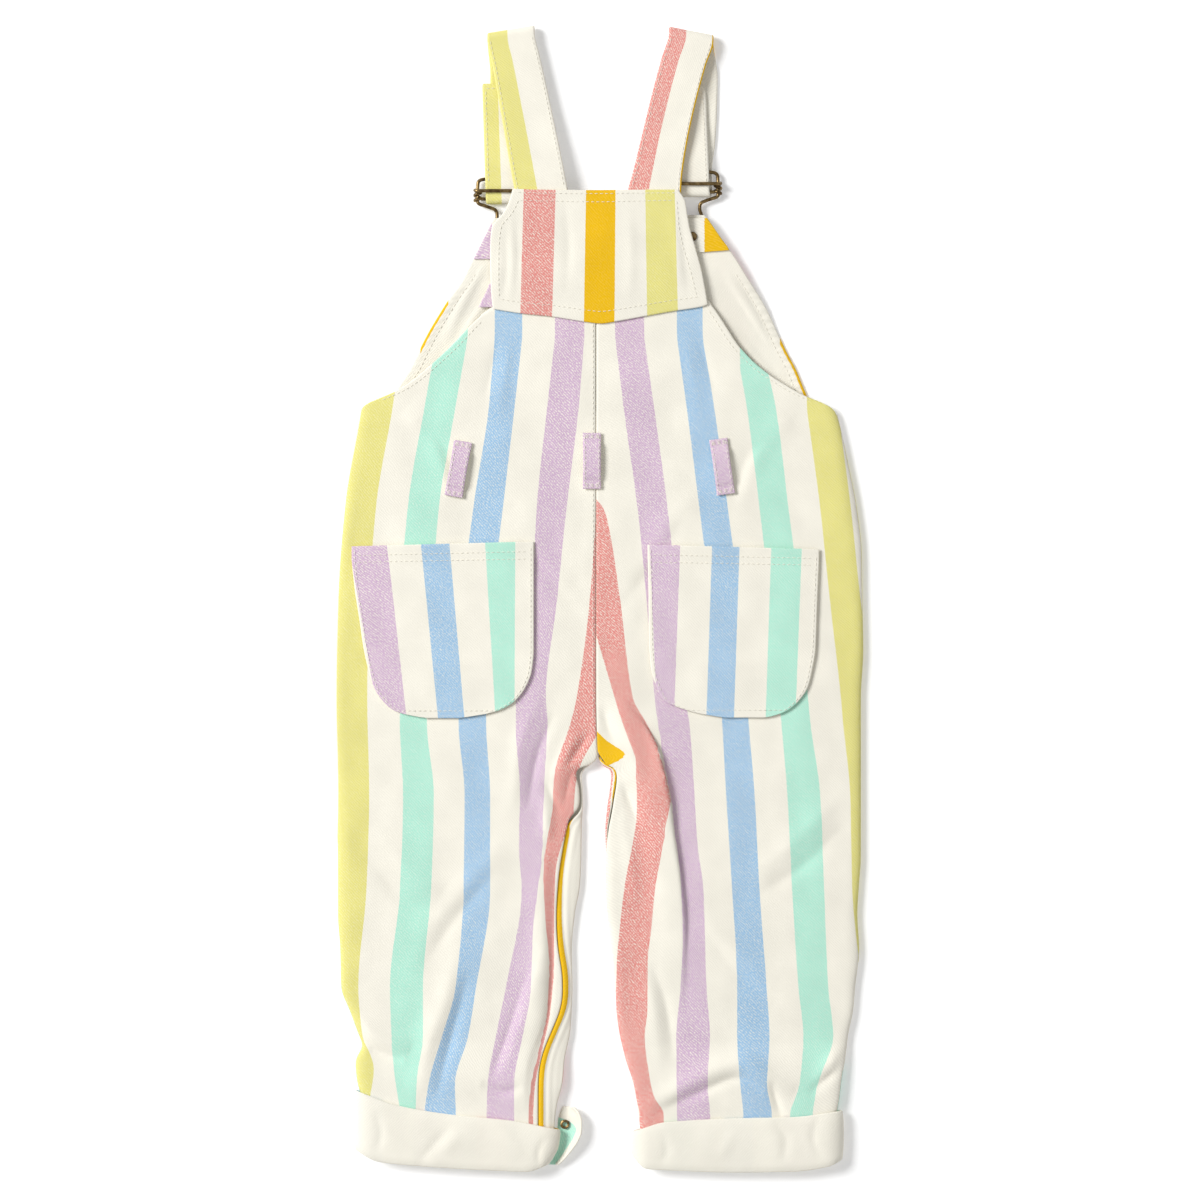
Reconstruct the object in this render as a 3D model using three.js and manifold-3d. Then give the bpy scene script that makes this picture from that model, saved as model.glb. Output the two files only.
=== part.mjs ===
// Kids bib overalls in striped cotton twill, laid flat with the back up.
// Millimetres. +Z is up from the table, +Y points to the shoulder straps and +X to the wearer's right.
import * as THREE from 'three';
import { mergeVertices } from 'three/addons/utils/BufferGeometryUtils.js';
import Module from 'manifold-3d';

const wasm = await Module();
wasm.setup();

// Cloth and how high it lies.
const CLOTH = 1.5;
const TRIM = 1.2;
const STRAP = 2.0;
const GAP = 0.3;
const LAID = 6.6;
const CUFF_CLOTH = 2.2;

// A laid edge turns from the table up to the back panel over this reach.
const SIDE_TURN = 8;
const INSEAM_TURN = 6;

// Hardware.
const WIRE = 1.1;
const WIRE_PLANE = 3.4;
const BUCKLE_HALF = 19.8;
const STRAP_HALF = 15.9;
const CAP_RADIUS = 8.5;
const CAP_THICK = 1.6;
const SHANK_RADIUS = 3;
const RIVET_RADIUS = 3;
const BIB_RISE = 4.8;

const CREAM = 0xf6f3e9;
const LIME = 0xe7e387;
const MINT = 0xacead5;
const BLUE = 0xa3cbec;
const PURPLE = 0xd4bbda;
const PINK = 0xf3a09c;
const ORANGE = 0xf5c228;
const BRONZE = 0x6e552d;
const CLOTH_ROUGHNESS = 0.9;
const METAL_ROUGHNESS = 0.45;

function named(columns, rows) {
  return rows.map((row) => Object.fromEntries(columns.map((name, i) => [name, row[i]])));
}

// Straight interpolation in a short table of [place, value] pairs.
function lookup(pairs, place) {
  const falling = pairs[0][0] > pairs[pairs.length - 1][0];
  const list = falling ? [...pairs].reverse() : pairs;
  if (place <= list[0][0]) return list[0][1];
  for (let i = 1; i < list.length; i += 1) {
    if (place <= list[i][0]) {
      const share = (place - list[i - 1][0]) / (list[i][0] - list[i - 1][0]);
      return list[i - 1][1] + share * (list[i][1] - list[i - 1][1]);
    }
  }
  return list[list.length - 1][1];
}

const mix = (a, b, share) => a + (b - a) * share;

function bodyFrom(points, index) {
  let volume = 0;
  for (let i = 0; i < index.length; i += 3) {
    const a = new THREE.Vector3(...points[index[i]]);
    const b = new THREE.Vector3(...points[index[i + 1]]);
    const c = new THREE.Vector3(...points[index[i + 2]]);
    volume += a.dot(b.cross(c));
  }
  const order = volume < 0 ? [...index].reverse() : index;
  const geometry = new THREE.BufferGeometry();
  geometry.setAttribute('position', new THREE.Float32BufferAttribute(points.flat(), 3));
  geometry.setIndex(order);
  return geometry;
}

// A sheet of cloth: a grid of points on its outer face and one on its inner face, closed round the edge.
function sheet(outer, inner) {
  const rows = outer.length;
  const columns = outer[0].length;
  const half = rows * columns;
  const index = [];
  const quad = (a, b, c, d) => index.push(a, b, c, a, c, d);
  const at = (r, c) => r * columns + c;
  for (let r = 0; r < rows - 1; r += 1) {
    for (let c = 0; c < columns - 1; c += 1) {
      quad(at(r, c), at(r + 1, c), at(r + 1, c + 1), at(r, c + 1));
      quad(half + at(r, c), half + at(r, c + 1), half + at(r + 1, c + 1), half + at(r + 1, c));
    }
  }
  for (let c = 0; c < columns - 1; c += 1) {
    const last = rows - 1;
    quad(at(0, c), at(0, c + 1), half + at(0, c + 1), half + at(0, c));
    quad(at(last, c + 1), at(last, c), half + at(last, c), half + at(last, c + 1));
  }
  for (let r = 0; r < rows - 1; r += 1) {
    const last = columns - 1;
    quad(at(r + 1, 0), at(r, 0), half + at(r, 0), half + at(r + 1, 0));
    quad(at(r, last), at(r + 1, last), half + at(r + 1, last), half + at(r, last));
  }
  return bodyFrom([...outer.flat(), ...inner.flat()], index);
}

// A closed loop of closed sections, such as a turned-up leg end.
function ring(sections) {
  const count = sections.length;
  const size = sections[0].length;
  const index = [];
  for (let k = 0; k < count; k += 1) {
    const next = (k + 1) % count;
    for (let i = 0; i < size; i += 1) {
      const j = (i + 1) % size;
      const a = k * size + i;
      const b = k * size + j;
      const c = next * size + j;
      const d = next * size + i;
      index.push(a, b, c, a, c, d);
    }
  }
  return bodyFrom(sections.flat(), index);
}

// A flat-lying sheet whose upper face is given by height(x, y), with its wall below it.
function laidSheet(grid, height, wall) {
  const upper = grid.map((row) => row.map(([x, y]) => [x, y, height(x, y) + wall]));
  const lower = grid.map((row) => row.map(([x, y]) => [x, y, height(x, y)]));
  return sheet(upper, lower);
}

// Grid between a left and a right border, each a list of points from top to bottom of equal length.
function gridBetween(left, right, columns) {
  return left.map((from, r) => {
    const to = right[r];
    const row = [];
    for (let c = 0; c <= columns; c += 1) {
      row.push([mix(from[0], to[0], c / columns), mix(from[1], to[1], c / columns)]);
    }
    return row;
  });
}

// The legs ride up at their ends, where the turned-up cloth passes beneath them.
const LEG_RISE = [[-276, 0], [-303, CUFF_CLOTH + GAP]];
const rise = (y) => lookup(LEG_RISE, y);

// Large folds of the back panels. Each runs down the leg or across it, with a height at each point
// and a reach to either side.
const FOLDS_DOWN = [
  {
    line: [[-60, 14], [-90, 28], [-102, 36], [-121, 39], [-145, 42], [-181, 47], [-218, 52], [-262, 59]],
    height: [[-60, 0], [-82, 2.5], [-102, 4.5], [-150, 4.5], [-180, 3.5], [-218, 2], [-262, 0]],
    left: 16,
    right: 6,
  },
  {
    line: [[-175, -34], [-212, -34.5], [-250, -37], [-286, -45.5], [-312, -47]],
    height: [[-175, 0], [-200, 2], [-286, 3], [-300, 1.8], [-311, 0]],
    left: 7,
    right: 6,
  },
  {
    line: [[-235, -94], [-250, -96.6], [-278, -106.6], [-316, -114]],
    height: [[-235, 0], [-255, 2.2], [-290, 2.4], [-309, 0]],
    left: 6,
    right: 9,
  },
];
const FOLDS_ACROSS = [
  {
    line: [[30, -312], [39, -309.7], [56.6, -299.7], [87.8, -288.4], [107, -297.8], [120, -304]],
    height: [[28, 0], [42, 2], [60, 2.8], [92, 2.2], [122, 0]],
    left: 6,
    right: 9,
  },
  {
    line: [[-152, -262], [-135, -274], [-118, -280]],
    height: [[-150, 2], [-130, 1.6], [-112, 0]],
    left: 6,
    right: 7,
  },
];

function foldHeight(x, y) {
  let sum = 0;
  for (const fold of FOLDS_DOWN) {
    const off = x - lookup(fold.line, y);
    const reach = off < 0 ? fold.left : fold.right;
    sum += lookup(fold.height, y) * Math.exp(-((off / reach) ** 2));
  }
  for (const fold of FOLDS_ACROSS) {
    const off = y - lookup(fold.line, x);
    const reach = off < 0 ? fold.left : fold.right;
    sum += lookup(fold.height, x) * Math.exp(-((off / reach) ** 2));
  }
  return sum;
}

// A back panel, row by row: its outer edge and its inner edge, and how far each is turned down
// to meet the front, 0 for a free or flat edge and 1 for a side seam.
const PANEL = ['outX', 'outY', 'inX', 'inY', 'outTurn', 'inTurn'];
const SEAM = 0.2;
const CENTRE = -2.2;

const BACK_LEFT = named(PANEL, [
  [-69, 181, CENTRE - SEAM, 179, 0, 0],
  [-76, 177.5, CENTRE - SEAM, 172, 0, 0],
  [-86, 166, CENTRE - SEAM, 161, 0, 0],
  [-97, 155, CENTRE - SEAM, 151, 0, 0],
  [-108.5, 144.5, CENTRE - SEAM, 142, 0, 0],
  [-119, 136, CENTRE - SEAM, 134, 0, 0],
  [-128.5, 129.5, CENTRE - SEAM, 126, 0, 0],
  [-148, 122.5, CENTRE - SEAM, 118, 0.2, 0],
  [-150, 117, CENTRE - SEAM, 111, 0.9, 0],
  [-153.5, 104, CENTRE - SEAM, 102, 1, 0],
  [-156, 87, CENTRE - SEAM, 87, 1, 0],
  [-159, 59, CENTRE - SEAM, 59, 1, 0],
  [-162, 29, CENTRE - SEAM, 29, 1, 0],
  [-164.5, -1, CENTRE - SEAM, -1, 1, 0],
  [-166, -31, CENTRE - SEAM, -31, 1, 0],
  [-166, -61, CENTRE - SEAM, -61, 1, 0],
  [-166, -87, -1.7 - SEAM, -87, 1, 0],
  [-165, -98, -1 - SEAM, -98, 1, 0.2],
  [-164.5, -108, -10.5, -108, 1, 0.9],
  [-164, -128, -13.4, -128, 1, 0.8],
  [-164, -142, -22.2, -142, 1, 0],
  [-163.5, -160, -24.1, -160, 1, 0],
  [-163.5, -177, -25, -177, 1, 0],
  [-163.5, -196, -24, -196, 1, 0],
  [-162, -218, -24.6, -218, 1, 0],
  [-161.5, -241, -23.8, -241, 1, 0],
  [-156, -256, -25.5, -256, 1, 0],
  [-150.5, -271, -32, -271, 1, 0],
  [-148, -278, -33.2, -278, 1, 0],
  [-152.5, -287, -34.2, -287, 1, 0],
  [-151.3, -300, -36.8, -301, 1, 0],
  [-148.4, -305, -36.2, -312, 1, 0],
  [-148.2, -322, -36.2, -330, 1, 0],
  [-148.2, -337, -36.2, -345, 1, 0],
]);

const BACK_RIGHT = named(PANEL, [
  [68, 184, CENTRE + SEAM, 179, 0, 0],
  [71, 180.5, CENTRE + SEAM, 172, 0, 0],
  [79, 171, CENTRE + SEAM, 161, 0, 0],
  [86.5, 160, CENTRE + SEAM, 151, 0, 0],
  [95.5, 150, CENTRE + SEAM, 142, 0, 0],
  [108.5, 139, CENTRE + SEAM, 134, 0, 0],
  [129.5, 127, CENTRE + SEAM, 126, 0, 0],
  [144.5, 121.5, CENTRE + SEAM, 118, 0.2, 0],
  [148.5, 116, CENTRE + SEAM, 111, 0.9, 0],
  [151.5, 104, CENTRE + SEAM, 102, 1, 0],
  [155, 87, CENTRE + SEAM, 87, 1, 0],
  [160.5, 59, CENTRE + SEAM, 59, 1, 0],
  [163.8, 29, CENTRE + SEAM, 29, 1, 0],
  [164.2, -1, CENTRE + SEAM, -1, 1, 0],
  [164.7, -31, CENTRE + SEAM, -31, 1, 0],
  [163.2, -61, CENTRE + SEAM, -61, 1, 0],
  [163.2, -78, -1.9 + SEAM, -78, 1, 0],
  [163.2, -90, -1.6 + SEAM, -90, 1, 0],
  [163.2, -100, -0.8 + SEAM, -100, 1, 0.2],
  [163.2, -109, 5.5, -109, 1, 0.9],
  [163.2, -125, 5.5, -125, 1, 0.9],
  [163.2, -142, 4.5, -142, 1, 1],
  [163.2, -160, 4, -160, 1, 1],
  [162, -178, 4.1, -178, 1, 1],
  [161, -196, 5.3, -196, 1, 1],
  [162.2, -218, 8, -218, 1, 1],
  [159.7, -241, 10.3, -241, 1, 1],
  [158.4, -256, 11, -256, 1, 1],
  [155.3, -271, 13, -271, 1, 1],
  [153.4, -286, 16.6, -286, 1, 1],
  [151, -300, 21.4, -300, 1, 1],
  [149.6, -312, 24, -314, 1, 1],
  [147.8, -317, 25.8, -328, 1, 1],
  [147.8, -343, 26.2, -341, 1, 1],
]);

// Steps round a turned edge, as shares of a right angle, and the columns of cloth between the two edges.
const TURN_STEPS = [0, 0.22, 0.5, 1];
const FLAT_COLUMNS = 16;

// Points of one back row from the outer edge to the inner edge, on the outer and the inner face.
function backRow(row) {
  const side = Math.sign(row.inX - row.outX);
  const width = Math.abs(row.inX - row.outX);
  const middle = rise(row.outY) + LAID / 2;
  const top = LAID / 2 - GAP / 2;
  const outer = [];
  const inner = [];
  const place = (along, turn, angle, fromInner) => {
    const span = fromInner ? INSEAM_TURN : SIDE_TURN;
    const back = fromInner ? width : 0;
    const way = fromInner ? -1 : 1;
    const reach = angle === null ? along : back + way * span * (1 - Math.cos(angle));
    const inset = angle === null ? along
      : back + way * (turn * CLOTH + (span - turn * CLOTH) * (1 - Math.cos(angle)));
    const lift = angle === null ? 1 : mix(1, Math.sin(angle), turn);
    const y = mix(row.outY, row.inY, reach / width);
    const x = row.outX + side * reach;
    const fold = foldHeight(x, y) * lift * Math.min(1, reach / SIDE_TURN);
    outer.push([x, y, middle + GAP / 2 + top * lift + fold]);
    inner.push([row.outX + side * inset, y, middle + GAP / 2 * turn * (1 - lift)
      + (LAID / 2 - CLOTH) * lift + fold]);
  };
  for (const step of TURN_STEPS) place(0, row.outTurn, step * Math.PI / 2, false);
  for (let i = 1; i < FLAT_COLUMNS; i += 1) {
    place(mix(SIDE_TURN, width - INSEAM_TURN, i / FLAT_COLUMNS), 0, null, false);
  }
  for (const step of [...TURN_STEPS].reverse()) place(0, row.inTurn, step * Math.PI / 2, true);
  return { outer, inner };
}

function backPanel(rows) {
  const made = rows.map(backRow);
  return sheet(made.map((row) => row.outer), made.map((row) => row.inner));
}

// A front panel: outer side seam, the line where it turns up at the inner side, how far it turns
// there, 0 flat, 1 up to the side and 2 over the top, and the line it reaches on top.
const FRONT = ['y', 'outX', 'innerX', 'turn', 'topX'];

const FRONT_LEFT = named(FRONT, [
  [117, -149.8, CENTRE - SEAM, 0, 0],
  [104, -153.5, CENTRE - SEAM, 0, 0],
  [87, -156, CENTRE - SEAM, 0, 0],
  [59, -159, CENTRE - SEAM, 0, 0],
  [29, -162, CENTRE - SEAM, 0, 0],
  [-1, -164.5, CENTRE - SEAM, 0, 0],
  [-31, -166, CENTRE - SEAM, 0, 0],
  [-61, -166, CENTRE - SEAM, 0, 0],
  [-87, -166, -1.7 - SEAM, 0, 0],
  [-98, -165, -1 - SEAM, 0.2, 0],
  [-108, -164.5, -9.2, 0.9, 0],
  [-128, -164, -10.4, 1.15, -12.8],
  [-142, -164, -10.9, 2, -21.7],
  [-160, -163.5, -11.3, 2, -23.6],
  [-177, -163.5, -12, 2, -24.5],
  [-196, -163.5, -15.2, 2, -23.5],
  [-218, -162, -17.2, 2, -24.1],
  [-241, -161.5, -16.8, 2, -23.3],
  [-256, -156, -17.2, 2, -25],
  [-271, -150.5, -18.4, 2, -31.5],
  [-278, -148, -20, 2, -32.7],
  [-287, -152.5, -21.8, 2, -33.7],
  [-300, -151.3, -22.8, 2, -36.3],
  [-305, -148.4, -24, 2, -35.7],
  [-318, -148.2, -27.2, 2, -35.7],
  [-337, -148.2, -28.4, 2, -35.7],
]);

const FRONT_RIGHT = named(FRONT, [
  [117, 148.2, CENTRE + SEAM, 0, 0],
  [104, 151.5, CENTRE + SEAM, 0, 0],
  [87, 155, CENTRE + SEAM, 0, 0],
  [59, 160.5, CENTRE + SEAM, 0, 0],
  [29, 163.8, CENTRE + SEAM, 0, 0],
  [-1, 164.2, CENTRE + SEAM, 0, 0],
  [-31, 164.7, CENTRE + SEAM, 0, 0],
  [-61, 163.2, CENTRE + SEAM, 0, 0],
  [-90, 163.2, -1.6 + SEAM, 0, 0],
  [-100, 163.2, -0.8 + SEAM, 0.2, 0],
  [-109, 163.2, 5, 0.9, 0],
  [-142, 163.2, 3.6, 1, 0],
  [-160, 163.2, 4, 1, 0],
  [-178, 162, 4.1, 1, 0],
  [-196, 161, 5.3, 1, 0],
  [-218, 162.2, 8, 1, 0],
  [-241, 159.7, 10.3, 1, 0],
  [-256, 158.4, 11, 1, 0],
  [-271, 155.3, 13, 1, 0],
  [-286, 153.4, 16.6, 1, 0],
  [-300, 151, 21.4, 1, 0],
  [-313, 149.5, 24, 1, 0],
  [-318, 147.8, 25.8, 1, 0],
  [-341, 147.8, 26.2, 1, 0],
]);

const FRONT_COLUMNS = 4;
const INNER_STEPS = 6;

function frontRow(row) {
  const side = Math.sign(row.innerX - row.outX);
  const middle = rise(row.y) + LAID / 2;
  const drop = LAID / 2 - GAP / 2;
  const outer = [];
  const inner = [];
  for (const step of TURN_STEPS) {
    const angle = step * Math.PI / 2;
    const flat = 1 - Math.cos(angle);
    outer.push([row.outX + side * SIDE_TURN * flat, row.y, middle - GAP / 2 - drop * Math.sin(angle)]);
    inner.push([
      row.outX + side * (CLOTH + (SIDE_TURN - CLOTH) * flat),
      row.y,
      middle - GAP / 2 * (1 - Math.sin(angle)) - (LAID / 2 - CLOTH) * Math.sin(angle),
    ]);
  }
  const start = row.outX + side * SIDE_TURN;
  const end = row.innerX - side * INSEAM_TURN;
  for (let i = 1; i < FRONT_COLUMNS; i += 1) {
    const x = mix(start, end, i / FRONT_COLUMNS);
    outer.push([x, row.y, middle - LAID / 2]);
    inner.push([x, row.y, middle - LAID / 2 + CLOTH]);
  }
  const quarter = Math.PI / 2;
  const over = Math.max(0, row.turn - 1);
  const arc = (1 + over) * quarter * (INSEAM_TURN + LAID / 2) / 2;
  const onTop = over * Math.max(0, Math.abs(end - row.topX));
  for (let i = 0; i <= INNER_STEPS; i += 1) {
    const along = (i / INNER_STEPS) * (arc + onTop);
    const angle = -quarter + Math.min(1, along / arc) * quarter * (1 + over);
    const flat = Math.max(0, along - arc);
    const curl = Math.min(1, row.turn);
    const share = i / INNER_STEPS;
    const wall = CLOTH * curl;
    const roundX = row.innerX - side * INSEAM_TURN * (1 - Math.cos(angle)) - side * flat;
    const turnedIn = wall + (INSEAM_TURN - wall) * (1 - Math.cos(angle));
    const roundInX = row.innerX - side * (turnedIn + flat);
    const roundZ = middle + (LAID / 2) * Math.sin(angle) - (over > 0 ? 0 : GAP / 2 * share);
    const roundInZ = middle + (LAID / 2 - CLOTH) * Math.sin(angle) - (over > 0 ? 0 : GAP / 2 * share);
    const flatX = mix(end, row.innerX, share);
    outer.push([mix(flatX, roundX, curl), row.y, mix(middle - LAID / 2, roundZ, curl)]);
    inner.push([mix(flatX, roundInX, curl), row.y, mix(middle - LAID / 2 + CLOTH, roundInZ, curl)]);
  }
  return { outer, inner };
}

function frontPanel(rows) {
  const made = rows.map(frontRow);
  return sheet(made.map((row) => row.outer), made.map((row) => row.inner));
}

// The bib lies on the table at the waist and rises over its buttons at the top.
const BIB_HEIGHT = [[118, 0], [163, 0], [188, 2.4], [212, BIB_RISE], [242, BIB_RISE]];
const BIB_LEFT = [
  [-64.7, 239.5], [-69, 232.2], [-79.7, 211.6], [-85.6, 199.7], [-93.4, 189], [-99, 180.3],
  [-106.6, 167.8], [-113.4, 154.7], [-119, 143.4], [-128.4, 129.4], [-133, 117.4],
];
const BIB_RIGHT = [
  [64.7, 241.6], [71, 233.4], [84.5, 214], [93.4, 199.7], [99, 191], [104, 183],
  [111.9, 165.9], [117, 155], [122.8, 144.1], [129.7, 127.2], [133, 117.4],
];
const BIB_COLUMNS = 6;
const bibHeight = (x, y) => lookup(BIB_HEIGHT, y);

const FACING_LEFT = [[-65.5, 238.8], [-72.5, 225], [-79, 212]];
const FACING_RIGHT = [[65.3, 241], [74, 228.5], [82.5, 215.5]];
const facingHeight = () => BIB_RISE + CLOTH + GAP;

// The yoke covers the strap ends at its top edge and laps on the back panels at its lower edge.
const YOKE_ROWS = [0, 0.1, 0.2, 0.32, 0.5, 0.7, 0.85, 1];
const YOKE_HEIGHT = [[0, 11.9], [0.2, 11.9], [0.32, 10.2], [0.5, 9.7], [0.7, 8.9], [0.85, 7.8], [1, 6.9]];
const YOKE_TOP = [[-54, 256.2], [-40, 255.6], [-2.2, 255.3], [30, 255.6], [49, 255.6]];
const YOKE_BOTTOM = [
  [-66.5, 181.6], [-47, 178.6], [-31, 177], [-8, 173.5], [1, 172.5], [10, 173.8], [25.5, 176.6],
  [46, 180.3], [63.5, 183], [67.5, 184.5],
];
const YOKE_LEFT_EDGE = [
  [0, -54], [0.1, -56.2], [0.2, -60], [0.32, -67], [0.5, -68.2], [0.7, -68], [0.85, -67.6], [1, -66.5],
];
const YOKE_RIGHT_EDGE = [
  [0, 49], [0.1, 53.4], [0.2, 54.6], [0.32, 56.2], [0.5, 60], [0.7, 63.8], [0.85, 65.8], [1, 67.5],
];
const YOKE_COLUMNS = 10;

function yoke() {
  const upper = [];
  const lower = [];
  for (const down of YOKE_ROWS) {
    const left = lookup(YOKE_LEFT_EDGE, down);
    const right = lookup(YOKE_RIGHT_EDGE, down);
    const top = [];
    const under = [];
    for (let c = 0; c <= YOKE_COLUMNS; c += 1) {
      const x = mix(left, right, c / YOKE_COLUMNS);
      const y = mix(lookup(YOKE_TOP, x), lookup(YOKE_BOTTOM, x), down);
      const z = lookup(YOKE_HEIGHT, down);
      top.push([x, y, z + CLOTH]);
      under.push([x, y, z]);
    }
    upper.push(top);
    lower.push(under);
  }
  return sheet(upper, lower);
}

// The lower end of the yoke's inner layer, which stands out past its left edge.
const YOKE_FACING_LEFT = [[-67.4, 200], [-71.5, 191], [-75.8, 182.3]];
const YOKE_FACING_RIGHT = [[-50, 203], [-50, 193], [-50, 182.3]];
const YOKE_FACING_HEIGHT = [[182, 5.1], [203, 5.9]];
const YOKE_FACING_COLUMNS = 3;
const yokeFacingHeight = (x, y) => lookup(YOKE_FACING_HEIGHT, y);

// Flat outline pieces sewn on the back, as rows from a left to a right border.
const POCKET = ['y', 'left', 'right', 'tilt'];
const POCKET_LEFT = named(POCKET, [
  [35.3, -155, -41.2, 3.1],
  [25, -154.3, -40.9, 2.2],
  [8, -152.6, -40.9, 0.6],
  [-12, -149.6, -40.9, 0],
  [-30, -147, -40.9, 0],
  [-44, -143.8, -42.2, 0],
  [-54, -140.6, -46, 0],
  [-62, -135.6, -52, 0],
  [-68, -129, -61.5, 0],
  [-72, -118, -76, 0],
  [-73.6, -104, -92, 0],
]);
const POCKET_RIGHT = named(POCKET, [
  [33.4, 29.7, 137.2, -3.1],
  [25, 29.9, 136.8, -2.4],
  [8, 30.5, 136.1, -1.2],
  [-12, 30.6, 135.4, 0],
  [-30, 31, 134.7, 0],
  [-44, 32.4, 132.4, 0],
  [-54, 35.6, 129.8, 0],
  [-62, 39.6, 124.6, 0],
  [-68, 53, 118, 0],
  [-72, 70, 109, 0],
  [-73.2, 80, 101, 0],
]);
const POCKET_COLUMNS = 7;

// The mouth stands off the back in its middle and comes down to it this far to either side.
const POCKET_MOUTH = [[0, 0], [20, 0], [36, 1.1]];
const MOUTH_HALF = 52;

function pocket(rows) {
  const grid = rows.map((row) => {
    const line = [];
    for (let c = 0; c <= POCKET_COLUMNS; c += 1) {
      const across = c / POCKET_COLUMNS;
      const x = mix(row.left, row.right, across);
      line.push([x, row.y + row.tilt * (across - 0.5)]);
    }
    return line;
  });
  const swell = (x, y) => {
    const middle = (rows[0].left + rows[0].right) / 2;
    const away = Math.min(1, Math.abs(x - middle) / MOUTH_HALF);
    return LAID + GAP + lookup(POCKET_MOUTH, y) * (1 - away ** 4);
  };
  return laidSheet(grid, swell, TRIM);
}

// Belt loops: narrow strips tacked down at both ends and clear of the back between them.
const LOOP_HALF = 5.8;
const BELT_LOOPS = named(['side', 'x', 'y', 'lean'], [
  ['left', -88, 82, 10],
  ['centre', -4.7, 87, 0],
  ['right', 76.4, 83.4, -8],
]);
const LOOP_LIFT = [[-17.5, 0], [-13, 0], [-9, 1.3], [0, 1.7], [9, 1.3], [13, 0], [17.5, 0]];

function beltLoop(loop) {
  const lean = THREE.MathUtils.degToRad(loop.lean);
  const upper = [];
  const lower = [];
  for (const [along, lift] of [...LOOP_LIFT].reverse()) {
    const top = [];
    const under = [];
    for (const across of [-LOOP_HALF, 0, LOOP_HALF]) {
      const x = loop.x + across * Math.cos(lean) + along * Math.sin(lean);
      const y = loop.y - across * Math.sin(lean) + along * Math.cos(lean);
      top.push([x, y, LAID + GAP + lift + TRIM]);
      under.push([x, y, LAID + GAP + lift]);
    }
    upper.push(top);
    lower.push(under);
  }
  return sheet(upper, lower);
}

// A strap is one ribbon: from under the yoke, over the shoulder fold, down against the table,
// round the lower slider bar and up again inside itself. Path rows hold the middle of the ribbon.
const STRAP_CENTRE = STRAP / 2;
const FOLD_RADIUS = 2.9;
const WRAP_RADIUS = WIRE + GAP + STRAP / 2;
const ARC_STEPS = 6;
const BAR_TO_TAIL = 9;
const TAIL_END = 322.6;

// Height of the ribbon's middle from under the yoke to the shoulder fold, and along the tail.
const UNDER_YOKE = 10.6;
const BACK_HEIGHT = [[248.6, UNDER_YOKE], [256, UNDER_YOKE], [264, UNDER_YOKE], [278, 9.6], [296, 8.2],
  [316, 7.1], [336, 2 * FOLD_RADIUS + STRAP_CENTRE]];
const TAIL_HEIGHT = [[271, WIRE_PLANE + WRAP_RADIUS], [285, 4.4], [300, 3.4], [314, 3.3], [TAIL_END, 3.3]];

// The ribbon leans less where the yoke holds it than at its fold.
const LEAN_AT_YOKE = 0.7;

function strapPath(shape) {
  const path = [];
  const add = (x, y, z, lean) => path.push({ x, y, z, lean });
  const foldY = shape.topY - FOLD_RADIUS - STRAP_CENTRE;
  const startY = BACK_HEIGHT[0][0];
  for (const [y, z] of BACK_HEIGHT) {
    const share = (y - startY) / (foldY - startY);
    add(mix(shape.yokeX, shape.topX, share) + shape.bow * 4 * share * (1 - share), y, z,
      shape.lean * mix(LEAN_AT_YOKE, 1, share));
  }
  for (let i = 0; i <= ARC_STEPS; i += 1) {
    const angle = Math.PI / 2 - (i / ARC_STEPS) * Math.PI;
    add(shape.topX, foldY + FOLD_RADIUS * Math.cos(angle), STRAP_CENTRE + FOLD_RADIUS
      + FOLD_RADIUS * Math.sin(angle), shape.lean);
  }
  for (const [y, x] of shape.front) {
    const share = (foldY - y) / (foldY - shape.barY);
    add(x, y, STRAP_CENTRE, shape.lean * (1 - share) ** 2);
  }
  const frontX = shape.front[shape.front.length - 1][1];
  for (let i = 0; i <= ARC_STEPS; i += 1) {
    const angle = -Math.PI / 2 - (i / ARC_STEPS) * Math.PI;
    add(mix(frontX, shape.barX, i / ARC_STEPS), shape.barY + WRAP_RADIUS * Math.cos(angle),
      WIRE_PLANE + WRAP_RADIUS * Math.sin(angle), 0);
  }
  for (const [y, z] of [[shape.barY + BAR_TO_TAIL, WIRE_PLANE + WRAP_RADIUS], ...TAIL_HEIGHT]) {
    const share = (y - shape.barY) / (TAIL_END - shape.barY);
    add(mix(shape.barX, shape.tailX, share), y, z, 0);
  }
  return path;
}

// Half width of the ribbon along its path, with the tail's corners rounded off. It is narrower on
// the shoulder, where the ribbon stands a little on its inner edge.
const TAIL_NARROW = [[0, 0.72], [1, 0.93], [2, 1]];
const BACK_POINTS = BACK_HEIGHT.length;
const FOLD_POINTS = ARC_STEPS + 1;
const RIBBON_COLUMNS = [-1, -0.55, 0, 0.55, 1];

function ribbonAt(shape, k, count) {
  if (k < BACK_POINTS) return { width: shape.width[k], tilt: shape.tilt[k] };
  const share = (k - BACK_POINTS) / FOLD_POINTS;
  if (share < 1) return { width: shape.fold, tilt: shape.foldTilt * (1 - share) };
  return { width: lookup(TAIL_NARROW, count - 1 - k), tilt: 0 };
}

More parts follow.
